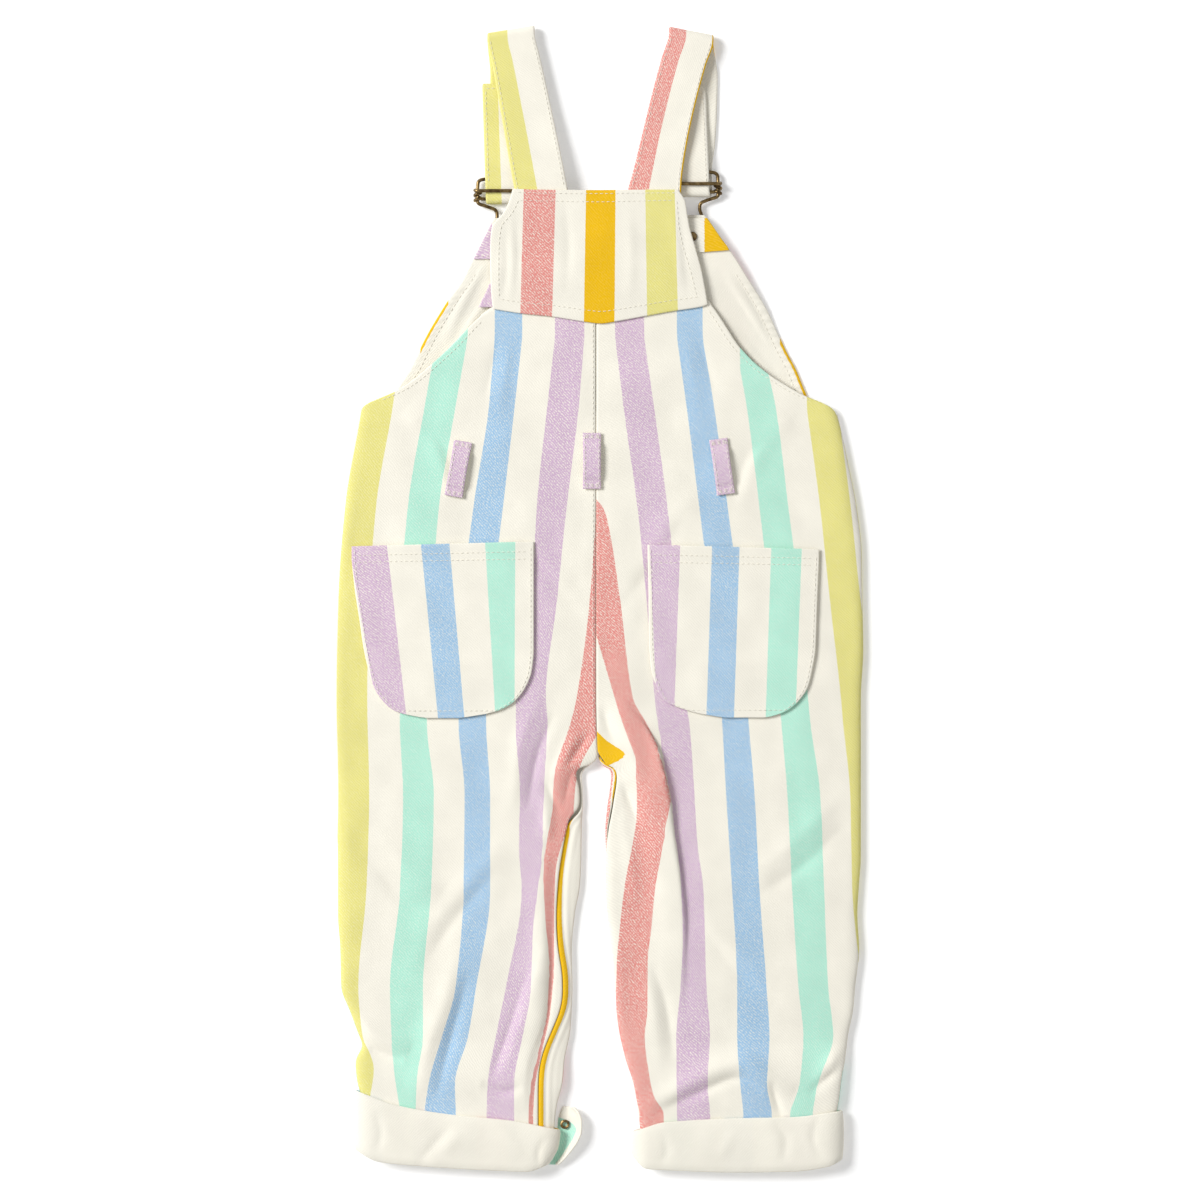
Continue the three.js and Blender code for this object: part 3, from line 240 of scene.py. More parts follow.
# Creases: height, reach to both sides and the line that each follows. A trough has a height below 0.
CREASES = [
    (2.4, 8, [(-33, -150), (-36.5, -185), (-36, -215), (-38.5, -250), (-46, -286), (-49, -318)]),
    (-2.2, 2.4, [(-27, -160), (-28.5, -198), (-29.5, -227), (-31.5, -255), (-36, -278), (-42.5, -322)]),
    (2.4, 8, [(-88, -215), (-96.6, -250), (-106.6, -278), (-114, -318)]),
    (-1.4, 3.6, [(-82, -232), (-89, -260), (-97, -290), (-102, -312)]),
    (1.6, 5.5, [(-34, -215), (-49.7, -266), (-61, -297)]),
    (-1.5, 3, [(-42, -224), (-57, -270), (-68, -300)]),
    (-1.8, 2.8, [(-74, -301), (-60, -306), (-48, -303)]),
    (2, 5, [(-156, -258), (-135, -274), (-118, -280)]),
    (-2, 3.2, [(-156, -270), (-138, -282), (-122, -287)]),
    (1.3, 7, [(-140, -140), (-118, -170), (-98, -182)]),
    (-1.1, 4.5, [(-146, -158), (-122, -186), (-100, -196)]),
    (1.1, 7, [(-60, -150), (-84, -178), (-112, -214)]),
    (-1, 4.5, [(-64, -168), (-88, -196), (-110, -228)]),
    (1.2, 6, [(-4, -90), (-20, -104), (-29, -124), (-34, -152)]),
    (-2.2, 2.6, [(-4, -80), (-12, -92), (-20, -103)]), (1.6, 3.4, [(-14, -82), (-21, -96), (-28, -112)]),
    (-1.6, 2.4, [(-34, -112), (-29, -124), (-24, -134)]), (1.5, 3, [(-36, -122), (-33, -136), (-31, -150)]),
    (-1.6, 3, [(-28, -70), (-39, -98), (-45, -132)]),
    (1.4, 5, [(-36, -56), (-50, -92), (-54, -130)]),
    (-0.8, 1.8, [(-15, -103), (-18.5, -112), (-23, -130)]),
    (-1.8, 3.4, [(1, -66), (4.5, -77), (11, -90)]),
    (-2, 3.2, [(14, -114), (19, -125), (25, -141)]),
    (1.6, 5, [(8, -68), (19, -92), (26, -116)]),
    (-1.3, 3, [(18, -66), (27, -92), (30, -116)]),
    (1.2, 5, [(13, -132), (19, -160), (23, -192)]),
    (2.8, 6, [(28, -312), (39, -309.7), (56.6, -299.7), (87.8, -288.4), (107, -297.8), (122, -305)]),
    (-1.8, 2.8, [(34, -319), (58, -308.5), (86, -297.5), (102, -306)]),
    (-1.6, 2.6, [(107, -299), (110, -311), (114, -322)]),
    (1.8, 4.6, [(134, -299), (146, -286), (158, -278)]),
    (-1.6, 2.8, [(130, -308), (144, -296), (158, -289)]),
    (1.3, 7, [(152, -120), (122, -150), (96, -170)]),
    (-1.1, 4.5, [(156, -137), (126, -166), (98, -184)]),
    (1, 7, [(60, -188), (84, -220), (112, -236)]),
    (-0.9, 4.5, [(64, -203), (88, -234), (114, -250)]),
    (-1.2, 3.6, [(33, -226), (42, -255), (46, -286)]),
    (1.1, 5, [(27, -224), (34, -255), (38, -292)]),
    (0.8, 8, [(-62, 62), (-40, 30), (-12, 0)]), (-0.8, 5, [(-56, 50), (-34, 18), (-9, -14)]),
    (0.8, 8, [(62, 70), (40, 38), (14, 4)]), (-0.8, 5, [(56, 58), (36, 26), (11, -8)]),
    (1, 6, [(-122, 118), (-102, 98), (-93, 60)]), (-0.9, 4, [(-114, 113), (-96, 92), (-86, 58)]),
    (1, 6, [(120, 112), (99, 94), (88, 60)]), (-0.9, 4, [(112, 107), (92, 88), (82, 56)]),
    (-0.7, 3, [(-62, 172), (-66, 150), (-71, 126)]), (0.7, 4, [(-55, 172), (-58, 148), (-62, 118)]),
    (-0.7, 3, [(60, 172), (66, 150), (72, 130)]), (0.6, 4, [(52, 170), (57, 146), (62, 120)]),
]
SWELL_DOWN = [(179, 0.1), (168, 0.1), (142, 1), (-345, 1)]
# Slight unevenness, broad and fine: height, and how far it reaches across and down the cloth.
RIPPLES = [(0.95, 34, 62), (0.32, 13, 19)]
RIPPLE_SEEDS = (3.1, 8.7)


def crease_height(x, y, creases):
    """Height of a list of creases at each point, each fading to nothing at its two ends."""
    total = np.zeros_like(x)
    for height, reach, line in creases:
        line = np.array(line, float)
        knots = np.arange(len(line))
        fine = np.linspace(0, len(line) - 1, 8 * len(line))
        bend = [smooth(list(zip(knots, line[:, k])), fine) for k in range(2)]
        near = np.full(x.shape, 1e9)
        share = np.zeros(x.shape)
        for t in range(len(fine) - 1):
            way = np.array([bend[0][t + 1] - bend[0][t], bend[1][t + 1] - bend[1][t]])
            along = ((x - bend[0][t]) * way[0] + (y - bend[1][t]) * way[1]) / (way @ way)
            along = np.clip(along, 0, 1)
            off = np.hypot(x - bend[0][t] - along * way[0], y - bend[1][t] - along * way[1])
            share = np.where(off < near, (t + along) / (len(fine) - 1), share)
            near = np.minimum(near, off)
        total = total + height * np.sin(math.pi * share) ** 0.7 * np.exp(-((near / reach) ** 1.7))
    return total


def main_fold(x, y):
    """Height of the right leg's large fold."""
    off = x - smooth(MAIN_FOLD, y)
    return smooth(MAIN_HEIGHT, y) * bell(off, np.where(off < 0, MAIN_LEFT, MAIN_RIGHT))


def ripple(x, y):
    """Slight unevenness of cloth that has been worn and smoothed flat by hand."""
    total = np.zeros(x.size)
    for (height, across, down), seed in zip(RIPPLES, RIPPLE_SEEDS):
        waves = [noise.noise(Vector((a / across, b / down, seed))) for a, b in zip(x.ravel(), y.ravel())]
        total += height * np.array(waves)
    return total.reshape(x.shape)


def printed_across(edges, rows, x):
    """Place on the printed cloth of each point of a grid, from where the stripes' edges lie in each row."""
    places = np.empty_like(x)
    names = sorted(edges, key=STRIPE_EDGES.get)
    lines = np.array([eased(edges[name], rows, EDGE_EASE) for name in names])
    for r in range(len(rows)):
        spots, counts = lines[:, r], np.array([STRIPE_EDGES[name] for name in names])
        if spots[0] > spots[-1]:
            spots, counts = spots[::-1], counts[::-1]
        spots = np.maximum.accumulate(spots + 0.01 * np.arange(len(spots)))
        way = np.sign(counts[-1] - counts[0])
        found = np.interp(x[r], spots, counts)
        found += way * np.minimum(x[r] - spots[0], 0) / PITCH
        found += way * np.maximum(x[r] - spots[-1], 0) / PITCH
        places[r] = found * PITCH
    return places


# The print repeats six stripes: lime, mint, blue, purple, pink and orange, with cream between them.
# On both panels it runs from the side seam to the middle. Edges are (y, x) down the panel.
EDGE_EASE = 2.5
STRIPE_EDGES = {
    "lime_in": STRIPE, "mint_out": 1, "mint_in": 1 + STRIPE, "blue_out": 2, "blue_in": 2 + STRIPE,
    "purple_out": 3, "purple_in": 3 + STRIPE, "pink_out": 4, "pink_in": 4 + STRIPE, "orange_out": 5,
}
PRINT_LEFT = {
    "lime_in": [(164, -123.4), (119, -129.7), (59, -139.7), (-1, -144.1), (-61, -145.3), (-121, -144.1),
                (-181, -145.9), (-241, -150.9), (-272, -147.8), (-292, -140.9), (-310, -143.4)],
    "mint_out": [(164, -101.6), (119, -109.7), (59, -119.7), (-1, -124.1), (-76, -124.7), (-121, -122.8),
                 (-181, -124.7), (-241, -130.9), (-272, -130), (-292, -128.4), (-310, -125.6),
                 (-322, -123.4)],
    "mint_in": [(164, -82.8), (119, -90.9), (59, -100.9), (-1, -105.3), (-76, -108.4), (-121, -104.1),
                (-181, -105.9), (-241, -110.9), (-272, -110.3), (-297, -113.8), (-318, -114.7)],
    "blue_out": [(164, -65.9), (119, -69.7), (59, -79.1), (-1, -85.9), (-76, -88.4), (-121, -84.7),
                 (-181, -85.3), (-241, -90.3), (-272, -99.1), (-301, -107.2), (-318, -109.7)],
    "blue_in": [(164, -48.4), (119, -53.4), (59, -60.3), (-1, -67.2), (-76, -70.9), (-121, -68.4),
                (-181, -68.4), (-241, -77.2), (-272, -82.2), (-301, -90.3), (-318, -89.7)],
    "purple_out": [(164, -27.8), (119, -32.8), (59, -39.1), (-1, -42.2), (-61, -52.2), (-76, -52.2),
                   (-121, -49.7), (-153, -50.3), (-181, -48.4), (-241, -58.4), (-272, -64.7), (-301, -69.7),
                   (-318, -70.3)],
    "purple_in": [(164, -9.7), (119, -13.4), (59, -20.9), (-1, -27.2), (-61, -34.1), (-76, -32.8),
                  (-121, -34.7), (-153, -35.3), (-181, -38.4), (-206, -41.6), (-241, -42.8), (-272, -48.4),
                  (-301, -53.4), (-318, -53.4)],
    "pink_out": [(59, -2.2), (-1, -6.6), (-61, -14.7), (-76, -18.4), (-110, -28.4), (-128, -29.7),
                 (-151, -33.4), (-170, -35.3), (-198, -34.1), (-227, -31.6), (-255, -32.8), (-283, -38.4),
                 (-303, -42.8), (-318, -44.1)],
    "pink_in": [(59, 16.6), (-1, 13.4), (-61, 4.1), (-76, 0.9), (-110, -15.3), (-137, -17.8), (-151, -24.1),
                (-170, -28.4), (-198, -29.1), (-227, -29.1), (-255, -31.2), (-283, -37.2), (-303, -41.2),
                (-318, -42.2)],
}
PRINT_RIGHT = {
    "lime_in": [(119, 129.7), (59, 137.8), (-1, 144.1), (-61, 150.9), (-76, 152.2), (-121, 156.6),
                (-181, 157.8), (-212, 160.3), (-241, 164.1), (-318, 162.8)],
    "mint_out": [(144, 104.7), (119, 110.3), (59, 117.8), (-1, 125.3), (-76, 131.6), (-121, 137.8),
                 (-181, 140.3), (-241, 142.8), (-272, 145.9), (-301, 135.9), (-318, 132.8)],
    "mint_in": [(144, 88.4), (119, 92.8), (59, 100.3), (-1, 107.2), (-76, 114.1), (-121, 117.8),
                (-181, 120.9), (-241, 124.7), (-272, 127.8), (-301, 125.3), (-318, 119.1)],
    "blue_out": [(164, 64.7), (119, 72.2), (59, 80.3), (-1, 87.8), (-76, 93.4), (-121, 97.2), (-181, 100.3),
                 (-241, 104.7), (-272, 106.6), (-301, 104.7), (-318, 107.8)],
    "blue_in": [(164, 48.4), (119, 54.7), (59, 62.2), (-1, 69.7), (-76, 76.6), (-121, 79.1), (-181, 82.8),
                (-241, 85.9), (-272, 85.9), (-301, 87.8), (-318, 89.7)],
    "purple_out": [(164, 27.8), (119, 34.1), (59, 42.2), (-1, 48.4), (-61, 53.4), (-76, 55.9), (-121, 59.1),
                   (-151, 60.9), (-181, 64.7), (-241, 66.6), (-272, 68.8), (-301, 67.2), (-318, 68.8)],
    "purple_in": [(164, 10.3), (119, 15.9), (59, 24.1), (-1, 29.7), (-61, 34.7), (-76, 36.4), (-87, 38),
                  (-96, 39.1), (-104, 40), (-115, 42.6), (-125, 44.6), (-135, 45.8), (-151, 47.4),
                  (-175, 50.5), (-211, 52.2), (-241, 50.9), (-272, 48.4), (-301, 48.4), (-318, 48.4)],
    "pink_out": [(164, -16), (90, -12), (72, -7), (64, -3), (59, 2), (50, 5.2), (-1, 13.4), (-61, 20.9),
                 (-76, 29.1), (-87, 34.4), (-97, 37.4), (-104, 39.6), (-115, 42.2), (-125, 44), (-133, 43),
                 (-155, 39.7), (-178, 35.3), (-203, 32.8), (-227, 30.3), (-255, 30.3), (-272, 28.4),
                 (-297, 31.2), (-309, 34.1), (-318, 40.3)],
    "pink_in": [(164, -34), (90, -30), (59, -15.3), (-1, -5.9), (-61, 10.9), (-76, 15.3), (-107, 24.1),
                (-130, 25.3), (-155, 21.6), (-178, 17.2), (-203, 14.1), (-227, 12.2), (-255, 11.9),
                (-272, 14.1), (-297, 21.3), (-318, 27.2)],
    "orange_out": [(164, -55), (75, -45), (-70, -20), (-81, -1.5), (-88, 5.5), (-96, 18), (-100, 13),
                   (-104, 3), (-110, -10), (-140, -20)],
}

# How far each edge is turned down to the front: 0 flat and free, 1 down to the side.
TURN_OUT = [(129, 0), (122.5, 0.2), (117, 0.9), (104, 1), (-345, 1)]
TURN_IN_LEFT = [(181, 0), (-90, 0), (-98, 0.15), (-108, 0.55), (-128, 0.45), (-142, 0), (-345, 0)]
TURN_IN_RIGHT = [(184, 0), (-90, 0), (-128, 0), (-148, 0.5), (-164, 1), (-345, 1)]
# The left leg's inseam, where the front rolls up over the leg, and how far the back laps over it.
INSEAM_LEFT = [(-120, -14), (-138, -20.4), (-154, -23.6), (-175, -26.4), (-196, -27), (-216, -25.8),
               (-236, -22.8), (-250, -23), (-262, -26.8), (-275, -32.4), (-288, -36.8), (-300, -38),
               (-337, -38)]
INSEAM_EASE = 7
LAP_LEFT = [(-138, 0.9), (-170, 0.6), (-195, 0), (-212, -GAP), (-337, -GAP)]
LAP_FROM = (-130, -140)
# The legs part squarely below the crotch.
PART_LEFT = [(-101.5, 0), (-104.5, -6), (-109, -4.4), (-118, -1), (-128, 0.4), (-140, 0)]
PART_RIGHT = [(-102, 0), (-105, 3.4), (-112, 2.6), (-125, 1), (-140, 0)]
PART_REACH = 15
BORDER_EASE = 3
# The top edge runs up under the yoke, and its right corner leans in.
TOP_EDGE = [(-73, 179), (-66, 183), (-31, 180.5), (0, 177.5), (25, 180.5), (46, 184), (60, 187), (72, 188.5)]
TOP_FROM = 160
CORNER = (56, 68)
CORNER_LEAN = 0.5
# The right front shows as a strip beside the inseam below the crotch, so the back stops short of it there.
SHORT_RIGHT = [(-94, 0), (-103, 3.1), (-125, 2.5), (-148, 1), (-164, 0)]
LEG_RISE = [(-276, 0), (-303, 2.5), (-345, 2.5)]
BACK_KNOTS = [179, 172, 161, 151, 142, 134, 127.5, 124, 121, 117, 104, 87, 59, 29, -1, -31, -61, -78, -90,
              -98, -104, -108, -118, -128, -142, -160, -177, -196, -218, -241, -256, -271, -278, -287, -300,
              -312, -322, -336]


def section(width, turn_start, turn_end):
    """Reach from the first edge, and share of the full height, at the points across a laid panel."""
    quarter = np.linspace(0, math.pi / 2, 9)[:-1]
    first = CLOTH / 2 + (SIDE_TURN - CLOTH / 2) * (1 - np.cos(quarter))
    last = INSEAM_TURN * (1 - np.cos(quarter))
    flat = np.linspace(SIDE_TURN, width - INSEAM_TURN, PANEL_COLUMNS)
    reach = np.concatenate([first, flat, width - last[::-1]])
    rise = np.concatenate([1 + turn_start * (np.sin(quarter) - 1), np.ones(len(flat)),
                           (1 + turn_end * (np.sin(quarter) - 1))[::-1]])
    return reach, rise


def back_panel(name, edges, turn_in, seam_first):
    """One back panel with its columns from left to right, and the grid of its middle."""
    rows = np.concatenate([np.arange(BACK_TOP, ARMHOLE_END, -1.3), np.arange(ARMHOLE_END, LEG_END, -2)])
    left, right = borders(name, BACK_KNOTS, rows, BORDER_EASE)
    if seam_first:
        left = left + smooth(SHORT_RIGHT, rows)
    else:
        lap = eased(INSEAM_LEFT, rows, INSEAM_EASE) + smooth(LAP_LEFT, rows)
        share = fade(rows, *LAP_FROM)
        right = right * (1 - share) + lap * share
    part = smooth(PART_RIGHT if seam_first else PART_LEFT, rows)
    turn_out = smooth(TURN_OUT, rows)
    turned = smooth(turn_in, rows)
    lift = smooth(LEG_RISE, rows)
    grid = []
    for r, y in enumerate(rows):
        width = right[r] - left[r]
        reach, rise = section(width, turn_out[r], turned[r])
        if seam_first:
            reach, rise = width - reach[::-1], rise[::-1]
        inward = reach if seam_first else width - reach
        x = left[r] + reach + part[r] * np.clip(1 - inward / PART_REACH, 0, 1) ** 1.5
        z = lift[r] + LAID / 2 + GAP / 2 + (LAID / 2 - GAP / 2 - CLOTH / 2) * rise
        edge = np.minimum(1, np.minimum(reach, width - reach) / SIDE_TURN)
        grid.append(np.stack([x, np.full_like(x, y), z, rise * edge], axis=1))
    grid = np.array(grid)
    x, y, z, weight = (grid[..., k] for k in range(4))
    raised = fade(y, TOP_FROM, BACK_TOP) * (smooth(TOP_EDGE, x) - BACK_TOP)
    y = y + raised
    x = x - CORNER_LEAN * np.maximum(raised, 0) * fade(x, *CORNER)
    pull = bell(x - smooth(MAIN_FOLD, y), OVERHANG_REACH) * smooth(OVERHANG, y)
    swell = main_fold(x, y) + crease_height(x, y, CREASES) + ripple(x, y)
    middle = np.stack([x + pull, y, z + swell * weight * smooth(SWELL_DOWN, y)], axis=2)
    places = printed_across(edges, rows, middle[..., 0])
    # The right panel is cut with the cloth turned half round, so both places run the other way.
    return middle, places, -middle[..., 1] if seam_first else middle[..., 1]


# The twill itself. Fine slanting ribs show on the printed side, and the print misses the hollows between
# its threads, which leaves light flecks in the colour.


def new_group(name, inputs, outputs):
    """A shader node group with named sockets, each given as (name, kind, starting value)."""
    group = bpy.data.node_groups.new(name, "ShaderNodeTree")
    for label, kind, start in inputs:
        socket = group.interface.new_socket(name=label, in_out="INPUT", socket_type="NodeSocket" + kind)
        if start is not None:
            socket.default_value = start
    for label, kind in outputs:
        group.interface.new_socket(name=label, in_out="OUTPUT", socket_type="NodeSocket" + kind)
    return group, group.nodes.new("NodeGroupInput"), group.nodes.new("NodeGroupOutput")


def feed(tree, made, inputs):
    """Values or links for a node's inputs, each by its name, or by an i and its number."""
    for key, value in inputs.items():
        socket = made.inputs[int(key[1:])] if key[1:].isdigit() else made.inputs[key]
        if isinstance(value, bpy.types.NodeSocket):
            tree.links.new(value, socket)
        else:
            socket.default_value = value


def node(tree, kind, settings=None, **inputs):
    """A node with its settings and its inputs."""
    made = tree.nodes.new(kind)
    for key, value in (settings or {}).items():
        setattr(made, key, value)
    feed(tree, made, inputs)
    return made


def maths(tree, operation, *values):
    """The result of a maths node."""
    inputs = {f"i{k}": value for k, value in enumerate(values)}
    return node(tree, "ShaderNodeMath", {"operation": operation}, **inputs).outputs[0]


def spread(tree, value, low, high, start, end):
    """A value whose range from low to high is spread from start to end."""
    return node(tree, "ShaderNodeMapRange", Value=value, i1=low, i2=high, i3=start, i4=end).outputs[0]


def cloth_noise(group, given, **inputs):
    """Noise over the place on the cloth."""
    return node(group, "ShaderNodeTexNoise", {"noise_dimensions": "2D"}, Vector=given.outputs["Place"],
                **inputs).outputs["Fac"]


def piece_noise(tree, scale, detail):
    """Noise over the place on a piece."""
    place = node(tree, "ShaderNodeTexCoord").outputs["Object"]
    return node(tree, "ShaderNodeTexNoise", Vector=place, Scale=scale, Detail=detail).outputs["Fac"]


def bumps(tree, height, strength, distance):
    """The surface raised by a height."""
    return node(tree, "ShaderNodeBump", Strength=strength, Distance=distance, Height=height).outputs[0]


def new_material(name):
    """A new material, with its node tree and its shader."""
    material = bpy.data.materials.new(name)
    material.use_nodes = True
    return material, material.node_tree, material.node_tree.nodes["Principled BSDF"]


def twill_group():
    """Rib height, fleck mask and slow unevenness of the twill, by place on the cloth in millimetres."""
    group, given, out = new_group("twill_weave", [
        ("Place", "Vector", None), ("Rib spacing", "Float", 1.8), ("Slant", "Float", 1.0)],
        [("Height", "Float"), ("Fleck", "Float"), ("Unevenness", "Float")])
    parts = node(group, "ShaderNodeSeparateXYZ", Vector=given.outputs["Place"])
    wander = cloth_noise(group, given, Scale=0.3, Detail=3.0)
    slanted = maths(group, "MULTIPLY_ADD", parts.outputs["X"], given.outputs["Slant"], parts.outputs["Y"])
    swayed = maths(group, "MULTIPLY_ADD", wander, 2.2, slanted)
    turns = maths(group, "DIVIDE", swayed, given.outputs["Rib spacing"])
    rib = maths(group, "SINE", maths(group, "MULTIPLY", turns, 2 * math.pi))
    thread = cloth_noise(group, given, Scale=0.8, Detail=4.0, Roughness=0.75)
    height = maths(group, "MULTIPLY_ADD", thread, 0.9, maths(group, "MULTIPLY", rib, 0.35))
    fleck = maths(group, "MULTIPLY", spread(group, thread, 0.44, 0.56, 0.0, 1.0),
                  spread(group, rib, -0.9, 0.9, 0.0, 1.0))
    slow = cloth_noise(group, given, Scale=0.045, Detail=3.0)
    feed(group, out, {"Height": height, "Fleck": fleck, "Unevenness": slow})
    return group


# The print's colours in linear light in their order across the cloth, and how much each shows light flecks.
PRINT_COLOURS = [
    (0.79, 0.735, 0.235, 0.3), (0.455, 0.825, 0.67, 0.4), (0.335, 0.545, 0.765, 0.75),
    (0.64, 0.455, 0.622, 1), (0.768, 0.275, 0.245, 0.95), (0.85, 0.505, 0.005, 0.06),
]
CREAM = (0.90, 0.865, 0.76)


def stripes_group():
    """Colour of the printed side, by place on the cloth in millimetres."""
    group, given, out = new_group("printed_stripes", [
        ("Place", "Vector", None), ("Fleck", "Float", 0.0), ("Strength", "Float", 1.0)], [("Color", "Color")])
    parts = node(group, "ShaderNodeSeparateXYZ", Vector=given.outputs["Place"])
    ragged = maths(group, "MULTIPLY_ADD", cloth_noise(group, given, Scale=1.1, Detail=2.0), 0.5,
                   parts.outputs["X"])
    repeats = maths(group, "DIVIDE", maths(group, "SUBTRACT", ragged, 0.25), PITCH * len(PRINT_COLOURS))
    turn = maths(group, "FRACT", repeats)
    ramp = node(group, "ShaderNodeValToRGB", Fac=turn)
    ramp.color_ramp.interpolation = "CONSTANT"
    stops = ramp.color_ramp.elements
    stops[0].position, stops[0].color = 0, PRINT_COLOURS[0]
    stops[1].position, stops[1].color = STRIPE / len(PRINT_COLOURS), (*CREAM, 0)
    for k, colour in enumerate(PRINT_COLOURS[1:], 1):
        stops.new(k / len(PRINT_COLOURS)).color = colour
        stops.new((k + STRIPE) / len(PRINT_COLOURS)).color = (*CREAM, 0)
    flecked = maths(group, "MULTIPLY", given.outputs["Fleck"], ramp.outputs["Alpha"])
    lighter = maths(group, "MULTIPLY", flecked, 0.85)
    inked = maths(group, "MULTIPLY", maths(group, "SUBTRACT", 1.0, lighter), given.outputs["Strength"])
    colour = node(group, "ShaderNodeMix", {"data_type": "RGBA"}, i0=inked, i6=(*CREAM, 1),
                  i7=ramp.outputs["Color"])
    feed(group, out, {"Color": colour.outputs[2]})
    return group


TWILL = twill_group()
STRIPES = stripes_group()


def cloth_material(name, strength, slant, roughness):
    """Cotton twill whose print shows at the given strength: in full on one side, faintly on the reverse."""
    material, tree, shader = new_material(name)
    place = node(tree, "ShaderNodeUVMap", {"uv_map": "cloth"})
    weave = node(tree, "ShaderNodeGroup", {"node_tree": TWILL}, Place=place.outputs[0], Slant=slant)
    printed = node(tree, "ShaderNodeGroup", {"node_tree": STRIPES}, Place=place.outputs[0],
                   Fleck=weave.outputs["Fleck"], Strength=strength)
    height = weave.outputs["Height"]
    tone = spread(tree, weave.outputs["Unevenness"], 0.3, 0.7, 0.965, 1.02)
    # Colour darkened where the weave lies low and lightened on its raised ribs: painted shade in the hollows
    # and painted highlight on the crests.
    painted_rib_shading = spread(tree, height, 0.1, 0.8, 0.95, 1.03)
    colour = node(tree, "ShaderNodeVectorMath", {"operation": "SCALE"}, i0=printed.outputs["Color"],
                  Scale=maths(tree, "MULTIPLY", tone, painted_rib_shading))
    rough = spread(tree, height, 0.0, 1.0, roughness, roughness + 0.12)
    feed(tree, shader, {
        "Base Color": colour.outputs[0], "Roughness": rough, "Normal": bumps(tree, height, 0.5, 0.0002),
        "Sheen Weight": 0.06, "Sheen Roughness": 0.6, "Specular IOR Level": 0.1})
    return material


PRINTED = cloth_material("printed_twill", 1.0, 1.0, 0.82)
REVERSE = cloth_material("twill_reverse", 0.015, -1.0, 0.85)


def make_up(node, middle, across, down, slot="striped_twill", inside=REVERSE, flat=None, held="laid",
            rests_on=(), **cut):
    """A cloth piece with its printed side and what its other side shows, in the place of its frame node."""
    piece = cloth_piece(node + "_cloth", middle, across, down, **cut)
    piece.data.materials.append(PRINTED)
    piece.data.materials.append(inside)
    sew(piece, node)


# The stitching: rows of cream cotton thread along seams and hems, sewn by a machine in short stitches. Each
# stitch is a round thread that sinks into the cloth at both ends.

STITCH = 2.2
STITCH_GAP = 1.0
STITCH_FROM = 0.4
THREAD = 0.2
THREAD_SIDES = 6
THREAD_LIFT = 0.1
# Rings along a stitch: share of its length, share of the thread's radius and height over the cloth.
STITCH_RINGS = [(0, 0.35, -0.25), (0.16, 0.9, 0.05), (0.5, 1, 0.14), (0.84, 0.9, 0.05), (1, 0.35, -0.25)]
UP = np.array([0, 0, 1])


def thread_material():
    """Cream sewing cotton, with a soft gloss and a fine twist."""
    material, tree, shader = new_material("sewing_thread")
    twist = piece_noise(tree, 2500.0, 2.0)
    ramp = node(tree, "ShaderNodeValToRGB", Fac=twist)
    ramp.color_ramp.elements[0].color = (0.78, 0.745, 0.65, 1)
    ramp.color_ramp.elements[1].color = (0.90, 0.865, 0.77, 1)
    feed(tree, shader, {"Base Color": ramp.outputs["Color"], "Roughness": 0.7,
                        "Normal": bumps(tree, twist, 0.3, 0.0001)})
    return material


SEWING_THREAD = thread_material()


def stitch_rows(name, rows):
    """Rows of stitches along lists of (x, y, z) points on the cloth's surface, as one piece."""
    verts = []
    faces = []
    turn = range(THREAD_SIDES)
    for line in rows:
        line = np.array(line, float)
        run = run_along(line)
        for start in np.arange(STITCH_FROM, run[-1] - STITCH, STITCH + STITCH_GAP):
            base = len(verts)
            for share, thick, lift in STITCH_RINGS:
                place = start + share * STITCH
                at = np.array([np.interp(place, run, line[:, k]) for k in range(3)])
                ahead = np.array([np.interp(place + THREAD, run, line[:, k]) for k in range(3)])
                side = np.cross((ahead - at) / np.linalg.norm(ahead - at), UP)
                for k in turn:
                    angle = k / THREAD_SIDES * 2 * math.pi
                    round_it = side * math.cos(angle) + UP * math.sin(angle)
                    verts.append(at + THREAD * thick * round_it + lift * UP)
            for ring in range(base, len(verts) - THREAD_SIDES, THREAD_SIDES):
                for k in turn:
                    a, b = ring + k, ring + (k + 1) % THREAD_SIDES
                    faces.append((a, b, b + THREAD_SIDES, a + THREAD_SIDES))
            faces.append(tuple(base + k for k in reversed(turn)))
            faces.append(tuple(len(verts) - THREAD_SIDES + k for k in turn))
    mesh = bpy.data.meshes.new(name)
    mesh.from_pydata(((np.array(verts) + SHIFT) * MM).tolist(), [], faces)
    mesh.shade_smooth()
    mesh.materials.append(SEWING_THREAD)
    piece = set_out(name, mesh)
    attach(piece, "root")


def on_cloth(middle, wall, rows_at, columns_at, line):
    """Points on the upper face of a laid piece along a line of (place down, place across)."""
    line = np.array(line, float)
    knots = np.arange(len(line))
    fine = np.linspace(0, len(line) - 1, 24 * (len(line) - 1) + 1)
    way = 1 if rows_at[-1] > rows_at[0] else -1
    down, across = (np.interp(fine, knots, line[:, k]) for k in range(2))
    r = np.interp(way * down, way * np.asarray(rows_at), np.arange(len(rows_at)))
    c = np.interp(across, columns_at, np.arange(len(columns_at)))
    r0 = np.minimum(r.astype(int), len(rows_at) - 2)
    c0 = np.minimum(c.astype(int), len(columns_at) - 2)
    s, t = (r - r0)[:, None], (c - c0)[:, None]
    upper = middle[r0, c0] * (1 - t) + middle[r0, c0 + 1] * t
    lower = middle[r0 + 1, c0] * (1 - t) + middle[r0 + 1, c0 + 1] * t
    return upper * (1 - s) + lower * s + UP * (wall / 2 + THREAD_LIFT)


